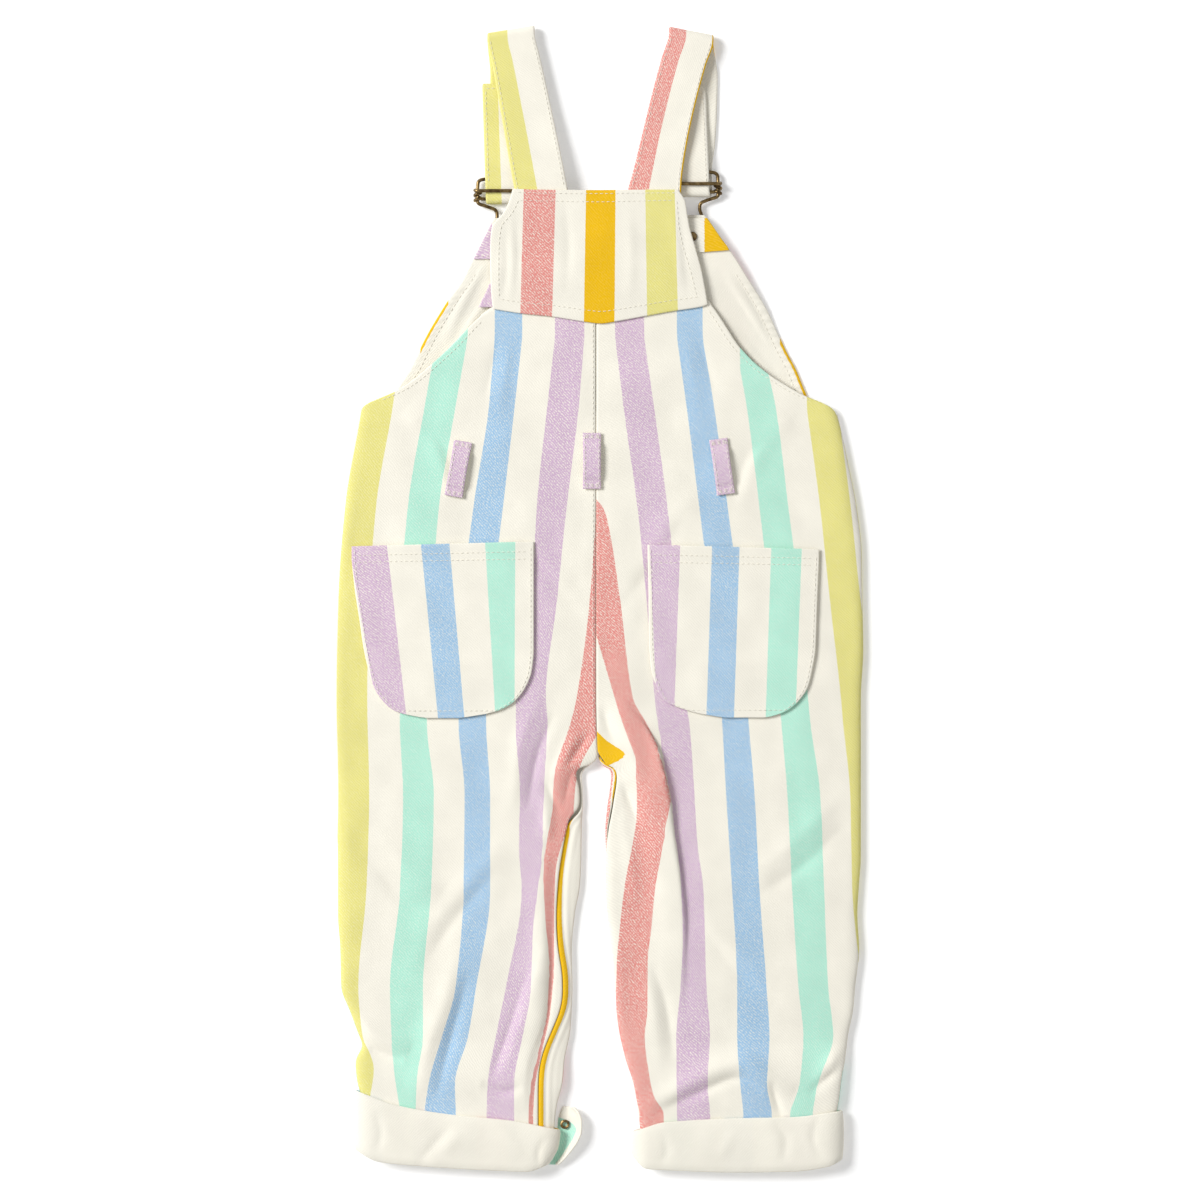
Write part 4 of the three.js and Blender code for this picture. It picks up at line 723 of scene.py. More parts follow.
SEAM_COLUMN = -5
ARMHOLE_COLUMN = 6
ARMHOLE_TOP = 174
ARMHOLE_FOOT = 124
SEAM_FOOT = -76
middles = []
for side, edges, turn_in in (("left", PRINT_LEFT, TURN_IN_LEFT), ("right", PRINT_RIGHT, TURN_IN_RIGHT)):
    middle, places, down = back_panel(f"back_{side}", edges, turn_in, side == "right")
    make_up(f"back_{side}", middle, places, down, hems=(1, 0, 1.2, 1.2), flat=(0.19, 0.54),
            rests_on=[f"front_{side}"])
    middles.append(middle + UP * (CLOTH / 2 + THREAD_LIFT))
heights = middles[0][:, 0, 1]
seam = (heights < ARMHOLE_TOP) & (heights > SEAM_FOOT)
armhole = (heights < ARMHOLE_TOP) & (heights > ARMHOLE_FOOT)
stitch_rows("back_stitches", [middles[0][seam, SEAM_COLUMN], middles[0][armhole, ARMHOLE_COLUMN],
                              middles[1][armhole, -1 - ARMHOLE_COLUMN]])

# The front panels: the same twill with its printed side to the table, seamed to the backs. The left front
# rolls over its inner edge on top of the leg, where the inseam's orange stripe shows as a line.

ROLL_LEFT = [(117, 0), (-87, 0), (-98, 0.2), (-108, 0.9), (-128, 1.15), (-142, 2), (-337, 2)]
ROLL_RIGHT = [(117, 0), (-90, 0), (-98, 1.2), (-104, 1.68), (-125, 1.6), (-148, 1.3), (-164, 1), (-337, 1)]
FRONT_KNOTS = [116, 104, 87, 59, 29, -1, -31, -61, -87, -98, -104, -108, -118, -128, -142, -160, -177, -196,
               -218, -241, -256, -271, -278, -287, -300, -312, -322, -336]
# How wide the orange line and the cream beside it are down the rolled edge, before the pink shows.
ORANGE_LEFT = [(-134, 0), (-146, 3.8), (-337, 3.4)]
CREAM_LEFT = [(-140, 20), (-240, 17), (-280, 12.6), (-316, 12)]
CREAM_RIGHT = 0.1
ORANGE_RIGHT = [(-98, 1.6), (-118, 1.4), (-132, 0)]
SUNK_LEFT = [(-126, 0), (-136, 1.5), (-170, 1.5), (-198, 0.9), (-225, 0.2), (-337, 0.2)]
# Down to where the edge is rolled, how it slopes to the leg, and the creases in it. Arcs are distances
# from the inner edge, as (start, full).
ROLLED = [(-132, 0), (-146, 1), (-337, 1)]
ROLL_SLOPE = 0.95
ROLL_ARCS = (2, 14)
CREASE_ARCS = (14, 10)
SUNK_ARCS = (8, 3)
ROLL_CREASES = [(-0.7, 1.4, 4.4), (-0.35, 1.6, 8.4)]
# The left front parts less than its back does.
FRONT_PART = 0.35
FRONT_TOP = 116
FLAT_COLUMNS = 24
ROLL_COLUMNS = 25


def front_panel(name, roll, inseam, mirrored):
    """One front panel: side turned up, flat under the leg, and its inner edge turned up or rolled over."""
    rows = np.arange(FRONT_TOP, LEG_END, -2.4)
    left, right = borders(name, FRONT_KNOTS, rows, BORDER_EASE)
    if mirrored:
        left = left + smooth(PART_RIGHT, rows)
    else:
        right = right + FRONT_PART * smooth(PART_LEFT, rows)
    outside, inside = (right, left) if mirrored else (left, right)
    side = -1 if mirrored else 1
    turns = smooth(roll, rows)
    tops = eased(inseam, rows, INSEAM_EASE) if inseam else None
    lift = smooth(LEG_RISE, rows)
    quarter = np.linspace(0, math.pi / 2, 7)
    grid = []
    arcs = []
    for r, y in enumerate(rows):
        middle_z = lift[r] + LAID / 2
        drop = LAID / 2 - CLOTH / 2
        x = list(outside[r] + side * (CLOTH / 2 + (SIDE_TURN - CLOTH / 2) * (1 - np.cos(quarter))))
        z = list(middle_z - GAP / 2 - (drop - GAP / 2) * np.sin(quarter))
        start = outside[r] + side * SIDE_TURN
        end = inside[r] - side * INSEAM_TURN
        x += list(np.linspace(start, end, FLAT_COLUMNS + 2)[1:-1])
        z += [middle_z - drop] * FLAT_COLUMNS
        over = max(0, turns[r] - 1)
        curl = min(1, turns[r])
        arc = (1 + over) * (INSEAM_TURN + LAID / 2) / 2 * math.pi / 2
        flat_top = over * abs(end - tops[r]) if inseam else 0
        along = np.linspace(0, arc + flat_top, ROLL_COLUMNS)
        angle = -math.pi / 2 + np.minimum(1, along / arc) * (1 + over) * math.pi / 2
        flat = np.maximum(0, along - arc)
        curve = CLOTH / 2 + (INSEAM_TURN - CLOTH / 2) * (1 - np.cos(angle))
        round_x = inside[r] - side * curve - side * flat
        round_z = middle_z + drop * np.sin(angle)
        flat_x = np.linspace(end, inside[r], ROLL_COLUMNS)
        x += list(flat_x + curl * (round_x - flat_x))
        z += list(middle_z - drop + curl * (round_z - middle_z + drop))
        row = np.stack([x, np.full(len(x), y), z], axis=1)
        grid.append(row if not mirrored else row[::-1])
        length = run_along(row)
        back = length[-1] - length
        arcs.append(back if not mirrored else back[::-1])
    return np.array(grid), np.array(arcs), rows


def front_print(arcs, line, cream):
    """Place on the print by distance from the inner edge: orange, cream, pink and so on to the side."""
    past = arcs - line
    pale = np.clip(past, 0, cream) / cream * (1 - STRIPE) * PITCH
    return 5 * PITCH - np.minimum(past, 0) - pale - np.maximum(past - cream, 0)


grid, arcs, rows = front_panel("front_left", ROLL_LEFT, INSEAM_LEFT, False)
places = front_print(arcs, smooth(ORANGE_LEFT, rows)[:, None], smooth(CREAM_LEFT, rows)[:, None])
rolled = smooth(ROLLED, rows)[:, None]
grid[..., 2] -= smooth(SUNK_LEFT, rows)[:, None] * fade(arcs, *SUNK_ARCS)
above = np.maximum(0, grid[..., 2] - LAID / 2 - smooth(LEG_RISE, rows)[:, None])
grid[..., 2] -= ROLL_SLOPE * above * rolled * fade(arcs, *ROLL_ARCS)
for height, reach, place in ROLL_CREASES:
    grid[..., 2] += height * rolled * fade(arcs, *CREASE_ARCS) * bell(arcs - place, reach)
grid, places = np.flip(grid, 1), np.flip(places, 1)
make_up("front_left", grid, places, grid[..., 1], hems=(0, 0, 1.2, 0), flat=(0.2, 0.46))

grid, arcs, rows = front_panel("front_right", ROLL_RIGHT, None, True)
places = front_print(arcs, smooth(ORANGE_RIGHT, rows)[:, None], CREAM_RIGHT)
grid, places = np.flip(grid, 1), np.flip(places, 1)
make_up("front_right", grid, places, -grid[..., 1], hems=(0, 0, 0, 1), flat=(0.2, 0.46))

# The bib lies under the back with its reverse up. Its top is faced inside with a band of the striped cloth,
# and its sides are hemmed, so that a stripe of the printed side shows as a line along them.

HEM = 0.9
HEM_SHARES = np.array([0, 0.08, 0.3, 0.62])


def laid_grid(left, right, columns, reach=HEM):
    """x of the points across each row, closer together near both borders."""
    near = reach * HEM_SHARES
    return np.array([np.concatenate([a + near, np.linspace(a + reach, b - reach, columns), b - near[::-1]])
                     for a, b in zip(left, right)])


def hem_rows(top, bottom, step):
    """Heights of the rows down a piece, closer together near its first and last row."""
    near = HEM * HEM_SHARES
    count = max(2, round((top - bottom) / step))
    return np.concatenate([top - near, np.linspace(top - HEM, bottom + HEM, count), bottom + near[::-1]])


def between_borders(node, knots, rows, columns, reach=HEM):
    """Left and right borders of a frame node, and x and y of a grid of points between them."""
    left, right = borders(node, knots, rows)
    x = laid_grid(left, right, columns, reach)
    return left, right, x, np.repeat(rows[:, None], x.shape[1], axis=1)


def beside_border(middle, wall, rows, x, border, inward, keep):
    """Points on the upper face that follow a piece's border at a distance, along the rows to keep."""
    return [on_cloth(middle, wall, rows, x[r], [(rows[r], border[r] + inward)] * 2)[0]
            for r in range(len(rows)) if keep[0] < rows[r] < keep[1]]


BIB_HEIGHT = [(117, 0), (163, 0), (188, 2.4), (212, 4.8), (242, 4.8)]
BIB_KNOTS = [240.5, 232, 223, 212, 200, 189, 180, 168, 155, 143.5, 135, 128, 122, 118]
BIB_PRINT_PITCH = 37.4
BIB_ORANGE = -103.4
BIB_HEM = 1.9
BIB_STITCH = 6
BIB_SEAM = (120, 205)
# How many columns at both sides turn their printed side out, and the height up to which they do.
BIB_TURNED = (4, 192)
BIB_CREASES = [
    (0.9, 3, [(-72, 210), (-84, 188), (-98, 160)]), (-0.7, 2, [(-68, 205), (-80, 182), (-92, 158)]),
    (0.8, 2.6, [(-66, 196), (-84, 168), (-104, 140)]), (1, 3, [(78, 205), (92, 184), (108, 158)]),
    (-0.8, 2.4, [(84, 190), (96, 168), (112, 142)]), (0.8, 3, [(72, 180), (90, 160), (112, 134)]),
    (0.7, 3, [(66, 168), (84, 148), (104, 130)]),
]
PUCKER = 0.34
PUCKER_PITCH = 4.6
PUCKER_ASIDE = (3.2, 2.6)
PUCKERED = (205, 193)
CRUMPLE = 0.6
CRUMPLE_FINER = 1.6
CRUMPLED = (165, 135)
GROOVE = 0.3
GROOVE_REACH = 1.1
rows = hem_rows(240.4, 118, 1.15)
left, right, x, y = between_borders("bib", BIB_KNOTS, rows, 130, BIB_HEM)
crumple = CRUMPLE * ripple(CRUMPLE_FINER * x, CRUMPLE_FINER * y) * fade(y, *CRUMPLED)
aside = np.minimum(x - left[:, None], right[:, None] - x)
gather = bell(aside - PUCKER_ASIDE[0], PUCKER_ASIDE[1]) * fade(y, *PUCKERED)
phase = y + 3 * np.array([[noise.noise(Vector((b / 9, 1.7, 0)))] for b in rows])
puckers = PUCKER * gather * (1 + np.sin(phase * 2 * math.pi / PUCKER_PITCH))
groove = GROOVE * bell(aside - BIB_STITCH, GROOVE_REACH)
swell = crumple + puckers - groove + crease_height(x, y, BIB_CREASES)
z = smooth(BIB_HEIGHT, y) + CLOTH / 2 + np.maximum(0, swell)
places = (5 + STRIPE / 2) * PITCH + (x - BIB_ORANGE) * PITCH / BIB_PRINT_PITCH
middle = np.stack([x, y, z], 2)
make_up("bib", middle, places, y, "plain_twill", hems=(HEM,) * 4, plain_up=True, turned_edge=BIB_TURNED,
        flat=(0.27, 0.125))
seams = [beside_border(middle, CLOTH, rows, x, border, inward, BIB_SEAM)
         for border, inward in ((left, BIB_STITCH), (right, -BIB_STITCH))]
stitch_rows("bib_stitches", seams)

FACING_WALL = 1.2
FACING_KNOTS = [238.5, 232, 225, 218, 213]
FACING_PURPLE_IN = -68
FACING_ORANGE_OUT = 64
FACING_SEAM = 214.6
rows = hem_rows(238.4, 212.6, 2.4)
_, _, x, y = between_borders("bib_facing", FACING_KNOTS, rows, 60)
z = np.full_like(x, BIB_HEIGHT[-1][1] + CLOTH + GAP + FACING_WALL / 2)
span = FACING_ORANGE_OUT - FACING_PURPLE_IN
places = ((3 + STRIPE) + (x - FACING_PURPLE_IN) / span * (2 - STRIPE)) * PITCH
middle = np.stack([x, y, z], 2)
make_up("bib_facing", middle, places, y, wall=FACING_WALL, hems=(HEM,) * 4, flat=(0.17, 0.03),
        rests_on=["bib"])
shares = np.linspace(0, 1, x.shape[1])
stitch_rows("facing_stitches", [on_cloth(middle, FACING_WALL, rows, shares,
                                         [(FACING_SEAM, 0.02), (FACING_SEAM, 0.98)])])

# The yoke: a doubled band of the twill across the shoulders. It covers the ends of the straps and laps over
# the top of the back panels, with two rows of stitching along its top and one along its pointed lower edge.

YOKE_HEIGHT = [(0, 11.9), (0.12, 11.8), (0.3, 10.9), (0.5, 9.7), (0.7, 8.6), (0.85, 7.7), (1, 6.95)]
YOKE_TOP = [(-54, 256.2), (-40, 255.6), (-2.2, 255.3), (30, 255.6), (49, 255.6)]
YOKE_BOTTOM = [(-66.5, 181.6), (-47, 178.6), (-31, 177), (-8, 173.5), (1, 172.5), (10, 173.8), (25.5, 176.6),
               (46, 180.3), (63.5, 183), (67.5, 184.5)]
YOKE_LEFT = [(0, -54), (0.1, -56.2), (0.2, -60), (0.32, -67), (0.5, -68.2), (0.7, -68), (0.85, -67.6),
             (1, -66.5)]
YOKE_RIGHT = [(0, 49), (0.1, 53.4), (0.2, 54.6), (0.32, 56.2), (0.5, 60), (0.7, 63.8), (0.85, 65.8),
              (1, 67.5)]
# Edges of the yoke's stripes as (y, x), from the left: pink, orange and lime.
YOKE_PRINT = {
    "pink_out": [(256, -47.4), (170, -50)], "pink_in": [(256, -28), (170, -30.7)],
    "orange_out": [(256, -9), (170, -10.6)], "orange_in": [(256, 9.8), (170, 9)],
    "next_lime_out": [(256, 28.4), (170, 29.8)], "next_lime_in": [(256, 46.2), (170, 48.6)],
}
STRIPE_EDGES.update({"orange_in": 5 + STRIPE, "next_lime_out": 6, "next_lime_in": 6 + STRIPE})


def yoke_place(down, across):
    """A point of the yoke, from its top (0) to its lower edge (1) and from left to right."""
    x = smooth(YOKE_LEFT, down) * (1 - across) + smooth(YOKE_RIGHT, down) * across
    y = smooth(YOKE_TOP, x) * (1 - down) + smooth(YOKE_BOTTOM, x) * down
    return x, y, smooth(YOKE_HEIGHT, down) + CLOTH / 2


YOKE_CREASES = [
    (-0.5, 1.8, [(-59, 228), (-57.5, 208), (-61, 184)]), (0.5, 2.2, [(-55.4, 246), (-54, 214), (-56.5, 184)]),
    (-0.4, 1.6, [(-52, 240), (-51, 214), (-52, 184)]), (0.4, 2, [(-62.5, 214), (-63, 198), (-65, 184)]),
    (-0.4, 2, [(49.6, 246), (53, 214), (56, 184)]), (0.4, 2.4, [(45, 250), (49, 214), (52, 188)]),
    (-0.5, 2.5, [(-22, 250), (-19, 220), (-21, 190)]), (0.5, 3, [(18, 246), (20, 214), (18, 182)]),
]
YOKE_STITCHES = [[(0.028, 0.03), (0.028, 0.97)], [(0.09, 0.05), (0.09, 0.95)], [(0.91, 0.04), (0.91, 0.96)],
                 [(0.09, 0.05), (0.91, 0.035)], [(0.09, 0.95), (0.5, 0.94), (0.91, 0.955)]]
YOKE_SWELL = 0.5
YOKE_LENGTH = 79
YOKE_WIDTH = 122
down = (YOKE_LENGTH - hem_rows(YOKE_LENGTH, 0, 1.6)) / YOKE_LENGTH
across = laid_grid([0], [YOKE_WIDTH], 76)[0] / YOKE_WIDTH
across, down = np.meshgrid(across, down)
x, y, z = yoke_place(down, across)
swell = YOKE_SWELL * ripple(x * 1.3 + 40, y * 0.8) + crease_height(x, y, YOKE_CREASES)
z = z + swell * np.sin(np.pi * down) ** 0.6
places = printed_across(YOKE_PRINT, y[:, 0], x)
middle = np.stack([x, y, z], 2)
make_up("back_yoke", middle, places, y, hems=(HEM,) * 4, flat=(0.14, 0.085),
        rests_on=["back_left", "back_right"])
stitch_rows("yoke_stitches", [on_cloth(middle, CLOTH, down[:, 0], across[0], line) for line in YOKE_STITCHES])

YOKE_FACING_KNOTS = [202, 198, 194, 191, 187, 183]
YOKE_FACING_HEIGHT = [(182, 5.1), (203, 5.9)]
YOKE_FACING_PURPLE_IN = -65
rows = hem_rows(201.8, 182.8, 2)
_, _, x, y = between_borders("yoke_facing", YOKE_FACING_KNOTS, rows, 14)
z = smooth(YOKE_FACING_HEIGHT, y) + FACING_WALL / 2
places = (3 + STRIPE) * PITCH + x - YOKE_FACING_PURPLE_IN
make_up("yoke_facing", np.stack([x, y, z], 2), places, y, wall=FACING_WALL, hems=(HEM,) * 4,
        flat=(0.026, 0.021))

# The straps: doubled twill ribbons, stitched down both edges. Each comes from under the yoke, folds over at
# the shoulder, runs down against the table, goes round the slider's lower bar and comes up inside itself.

STRAP = 2.0
STRAP_HALF = 15.9
STRAP_SWELL = 0.22
FOLD_RADIUS = 2.9
BEND_STEPS = 6
WIRE = 1.1
WIRE_PLANE = 3.4
WRAP_RADIUS = WIRE + GAP + STRAP / 2
STRAP_END = 248.6
TAIL_END = 322.6
TAIL_FLAT = 9
STRAP_BACK = [(248.6, 10.6), (256, 10.6), (264, 10.6), (278, 9.6), (296, 8.2), (316, 7.1), (336, 6.8)]
STRAP_TAIL = [(271, 5.8), (285, 4.4), (300, 3.4), (314, 3.3), (322.6, 3.3)]
STRAPS = {
    "left": {"yoke_x": -35, "top_x": -55.2, "top_y": 356.5, "lean": 9.5, "bow": 0.3, "bar_x": -55,
             "bar_y": 250.6, "tail_x": -57.3,
             "front": [(330, -52.4), (308, -52.4), (286, -53.6), (268, -54.6)],
             "width": [1.03, 1.03, 1.03, 1.02, 1, 0.98, 0.95], "fold": 0.94, "tilt": [0] * 7, "fold_tilt": 0,
             "corner": 1.6, "print": [(0, 5.4, 37), (0.5, 5.4, 37), (0.62, 10, 38.2), (1, 10.6, 38.2)]},
    "right": {"yoke_x": 33.4, "top_x": 57.2, "top_y": 355.5, "lean": -11, "bow": -2, "bar_x": 52.8,
              "bar_y": 255, "tail_x": 50.3, "front": [(330, 58), (308, 57.6), (286, 56.4), (268, 54.4)],
              "width": [1.05, 1.03, 0.97, 0.92, 0.89, 0.88, 0.88], "fold": 0.89,
              "tilt": [0, 0, 0.2, 0.4, 0.6, 0.6, 0.5], "fold_tilt": 0.4, "corner": 9,
              "print": [(0, 159.8, 193.7), (0.4, 159.8, 193.7), (0.5, 166, 191), (1, 172.6, 191)]},
}


def strap_path(shape):
    """Points on the middle of a strap, each with its lean, half width and sideways tilt."""
    path = []
    fold_y = shape["top_y"] - FOLD_RADIUS - STRAP / 2
    for k, (y, z) in enumerate(STRAP_BACK):
        share = (y - STRAP_END) / (fold_y - STRAP_END)
        x = shape["yoke_x"] * (1 - share) + shape["top_x"] * share + shape["bow"] * 4 * share * (1 - share)
        path.append((x, y, z, shape["lean"] * (0.7 + 0.3 * share), shape["width"][k], shape["tilt"][k]))
    for k in range(BEND_STEPS + 1):
        angle = math.pi / 2 - k / BEND_STEPS * math.pi
        path.append((shape["top_x"], fold_y + FOLD_RADIUS * math.cos(angle),
                     STRAP / 2 + FOLD_RADIUS + FOLD_RADIUS * math.sin(angle), shape["lean"], shape["fold"],
                     shape["fold_tilt"] * (1 - k / (BEND_STEPS + 1))))
    for y, x in shape["front"]:
        share = (fold_y - y) / (fold_y - shape["bar_y"])
        path.append((x, y, STRAP / 2, shape["lean"] * (1 - share) ** 2, 1, 0))
    last_x = shape["front"][-1][1]
    for k in range(BEND_STEPS + 1):
        angle = -math.pi / 2 - k / BEND_STEPS * math.pi
        x = last_x + (shape["bar_x"] - last_x) * k / BEND_STEPS
        path.append((x, shape["bar_y"] + WRAP_RADIUS * math.cos(angle),
                     WIRE_PLANE + WRAP_RADIUS * math.sin(angle), 0, 1, 0))
    for y, z in [(shape["bar_y"] + TAIL_FLAT, WIRE_PLANE + WRAP_RADIUS)] + STRAP_TAIL:
        share = (y - shape["bar_y"]) / (TAIL_END - shape["bar_y"])
        path.append((shape["bar_x"] + (shape["tail_x"] - shape["bar_x"]) * share, y, z, 0, 1, 0))
    return np.array(path)


def strap(side, shape):
    """One strap as a ribbon along its path, and its middle with the places along and across it."""
    path = strap_path(shape)
    run = run_along(path[:, :3])
    fine = np.append(np.arange(0, run[-1], 1.3), run[-1])
    x, y, z, lean, width, tilt = (smooth(list(zip(run, path[:, k])), fine) for k in range(6))
    width = width - shape["corner"] / STRAP_HALF / 2 * (1 - rounded(run[-1] - fine, shape["corner"]))
    near = np.array([-1, -0.995, -0.98, -0.95])
    across = np.concatenate([near, np.linspace(-0.9, 0.9, 23), -near[::-1]])
    lean = np.radians(lean)[:, None]
    half = STRAP_HALF * width[:, None]
    grid = np.stack([x[:, None] + across * half * np.cos(lean), y[:, None] + across * half * np.sin(lean),
                     z[:, None] + tilt[:, None] * across], axis=2)
    prints = np.array(shape["print"])
    first, last = (np.interp(fine / run[-1], prints[:, 0], prints[:, k])[:, None] for k in (1, 2))
    places = first + (last - first) * (across + 1) / 2
    down = fine[:, None] + 0 * across
    grid[..., 2] += STRAP_SWELL * ripple(grid[..., 0] * 2.2, down * 1.6)
    grid[..., 2] = np.maximum(grid[..., 2], STRAP / 2)
    make_up(f"strap_{side}", np.flip(grid, 0), np.flip(places, 0), np.flip(down, 0), inside=PRINTED,
            wall=STRAP, hems=(1, 0, 1, 1), flat=(0.033, 0.33), held="folded")
    return grid, fine, across


STRAP_BARE = 8
STRAP_SHOULDER = 104
STRAP_TAIL_SEEN = 62
STRAP_SEAM = 0.87
END_SEAM = 3
for side, shape in STRAPS.items():
    middle, along, across = strap(side, shape)
    seams = []
    end = along[-1] - END_SEAM
    for start, stop in ((STRAP_BARE, STRAP_SHOULDER), (along[-1] - STRAP_TAIL_SEEN, end)):
        for place in (-STRAP_SEAM, STRAP_SEAM):
            seams.append(on_cloth(middle, STRAP, along, across, [(start, place), (stop, place)]))
    seams.append(on_cloth(middle, STRAP, along, across, [(end, -STRAP_SEAM), (end, STRAP_SEAM)]))
    stitch_rows(f"strap_{side}_stitches", seams)

# The belt loops: three narrow strips cut along the purple stripe, folded in and topstitched down both
# sides. Each is tacked to the back at both ends and stands a little off it between them.

LOOP_HALF = 5.8
LOOP_REACH = 17.5
TRIM = 1.2
LOOP_BOW = 0.05
LOOP_BASE = 0.7
LOOP_LIFT = [(-17.5, 0), (-13, 0), (-9, 1.3), (0, 1.7), (9, 1.3), (13, 0), (17.5, 0)]
LOOP_SEAMS = [[(16, side), (-16, side)] for side in (-4.4, 4.4)]
LOOP_TACKS = [[(tack, -4.6), (tack, 4.6)] for tack in (16, 15.2, 14.4, -14.4, -15.2, -16)]
BELT_LOOPS = {"left": (-88, 82, 10), "centre": (-4.7, 87, 0), "right": (76.4, 83.4, -8)}
for side, (centre_x, centre_y, degrees) in BELT_LOOPS.items():
    lean = math.radians(degrees)
    down = hem_rows(LOOP_REACH, -LOOP_REACH, 1.2)[:, None]
    across = laid_grid([-LOOP_HALF], [LOOP_HALF], 10)
    bowed = across * (1 - LOOP_BOW * (1 - (down / LOOP_REACH) ** 2))
    x = centre_x + bowed * math.cos(lean) + down * math.sin(lean)
    y = centre_y - bowed * math.sin(lean) + down * math.cos(lean)
    z = LAID + GAP + TRIM / 2 + smooth(LOOP_LIFT, down) + LOOP_BASE + 0 * across
    places = (3 + STRIPE / 2) * PITCH + across + 0 * down
    middle = np.stack([x, y, z], 2)
    make_up(f"belt_loop_{side}", middle, places, y, wall=TRIM, hems=(HEM,) * 4, flat=(0.012, 0.036),
            rests_on=["back_right" if side == "right" else "back_left"])
    stitch_rows(f"belt_loop_{side}_stitches", [on_cloth(middle, TRIM, down[:, 0], across[0], line)
                                               for line in LOOP_SEAMS + LOOP_TACKS])

# The back pockets: patches of the twill with round lower corners, their mouths hemmed with two rows of
# stitches. They are stitched on round the other three sides, and lie open a little at the top.

POCKET_KNOTS = [26, 18, 6, -12, -30, -44, -54, -62, -68, -71.5, -73.1]
POCKETS = {
    "left": {"tilt": 3.1, "top": 35.3, "bottom": -73.4,
             "stripes": [((-155.5, -132.2), (-139.5, -121.6)), ((-110.9, -92.8), (-101.6, -84.7)),
                         ((-70.3, -52.2), (-64.7, -52.8))]},
    "right": {"tilt": -3.1, "top": 33.4, "bottom": -73,
              "stripes": [((31.6, 50.3), (35.9, 46.6)), ((70.3, 87.8), (67.2, 84.7)),
                          ((107.8, 126.3), (104.7, 122.8))]},
}
# The stripes' two edges were measured at these two heights, near the mouth and near the foot.
POCKET_HEIGHTS = (34, -61)
POCKET_TILT = [(-12, 0), (8, 0.2), (25, 0.7), (36, 1)]
POCKET_BASE = 0.75
MOUTH = [(-80, 0), (20, 0), (36, 1.1)]
MOUTH_HALF = 52
POCKET_SWELL = 0.8
SWELL_HALF = (60, 40)
MOUTH_SEAMS = (6, 10.4)
POCKET_SEAM = 2
SEAM_FOOT_GAP = 3
SEAM_TOP_GAP = 2


def pocket_places(stripes, rows, x):
    """Place on the print, with purple at the left, then blue and mint."""
    places = np.empty_like(x)
    counts = [edge + k for k in range(len(stripes)) for edge in (-(3 + STRIPE), -3)]
    top, low = POCKET_HEIGHTS
    for r, y in enumerate(rows):
        share = np.clip((top - y) / (top - low), -0.1, 1.2)
        spots = [a + (b - a) * share for above, below in stripes for a, b in zip(above, below)]
        found = np.interp(x[r], spots, counts)
        found += np.minimum(x[r] - spots[0], 0) / PITCH + np.maximum(x[r] - spots[-1], 0) / PITCH
        places[r] = -found * PITCH
    return places


for side, shape in POCKETS.items():
    steps = hem_rows(shape["top"], shape["bottom"], 1.9)
    known = np.minimum(steps, POCKET_KNOTS[0])
    left, right, x, _ = between_borders(f"back_pocket_{side}", POCKET_KNOTS, known, 60)
    share = (x - left[:, None]) / (right - left)[:, None]
    tilt = smooth(POCKET_TILT, steps)[:, None] * shape["tilt"]
    y = steps[:, None] + tilt * (share - 0.5)
    aside = np.abs(x - (left[0] + right[0]) / 2)
    open_share = 1 - np.minimum(1, aside / MOUTH_HALF) ** 4
    swell = POCKET_SWELL * ripple(x, y) * fade(aside, *SWELL_HALF)
    z = LAID + GAP + TRIM / 2 + POCKET_BASE + smooth(MOUTH, y) * open_share + swell
    places = pocket_places(shape["stripes"], steps, x)
    middle = np.stack([x, y, z], 2)
    make_up(f"back_pocket_{side}", middle, places, -y, wall=TRIM, hems=(HEM,) * 4, flat=(0.12, 0.115),
            rests_on=[f"back_{side}"])
    seams = [on_cloth(middle, TRIM, steps, share[0], [(steps[0] - below, 0.03), (steps[0] - below, 0.97)])
             for below in MOUTH_SEAMS]
    keep = (steps[-1] + SEAM_FOOT_GAP, steps[0] - SEAM_TOP_GAP)
    down = beside_border(middle, TRIM, steps, x, left, POCKET_SEAM, keep)
    up = beside_border(middle, TRIM, steps, x, right, -POCKET_SEAM, keep)
    stitch_rows(f"back_pocket_{side}_stitches", seams + [down + up[::-1]])

# The cuffs: the leg ends turned up once, so that their plain reverse shows. Each is a band round the leg,
# with a soft fold at the bottom and its cut edge hemmed at the top.

CUFF_CLOTH = 2.2
LEG_TOP = LAID + CUFF_CLOTH + GAP
CUFF_TURN = 9
CUFF_HEM = 0.8
CUFF_COLUMNS = 56
CUFF_SLANTED = 26
CUFF_SOFTNESS = 1.4
CUFF_WAVE = (0.25, 17, 23)
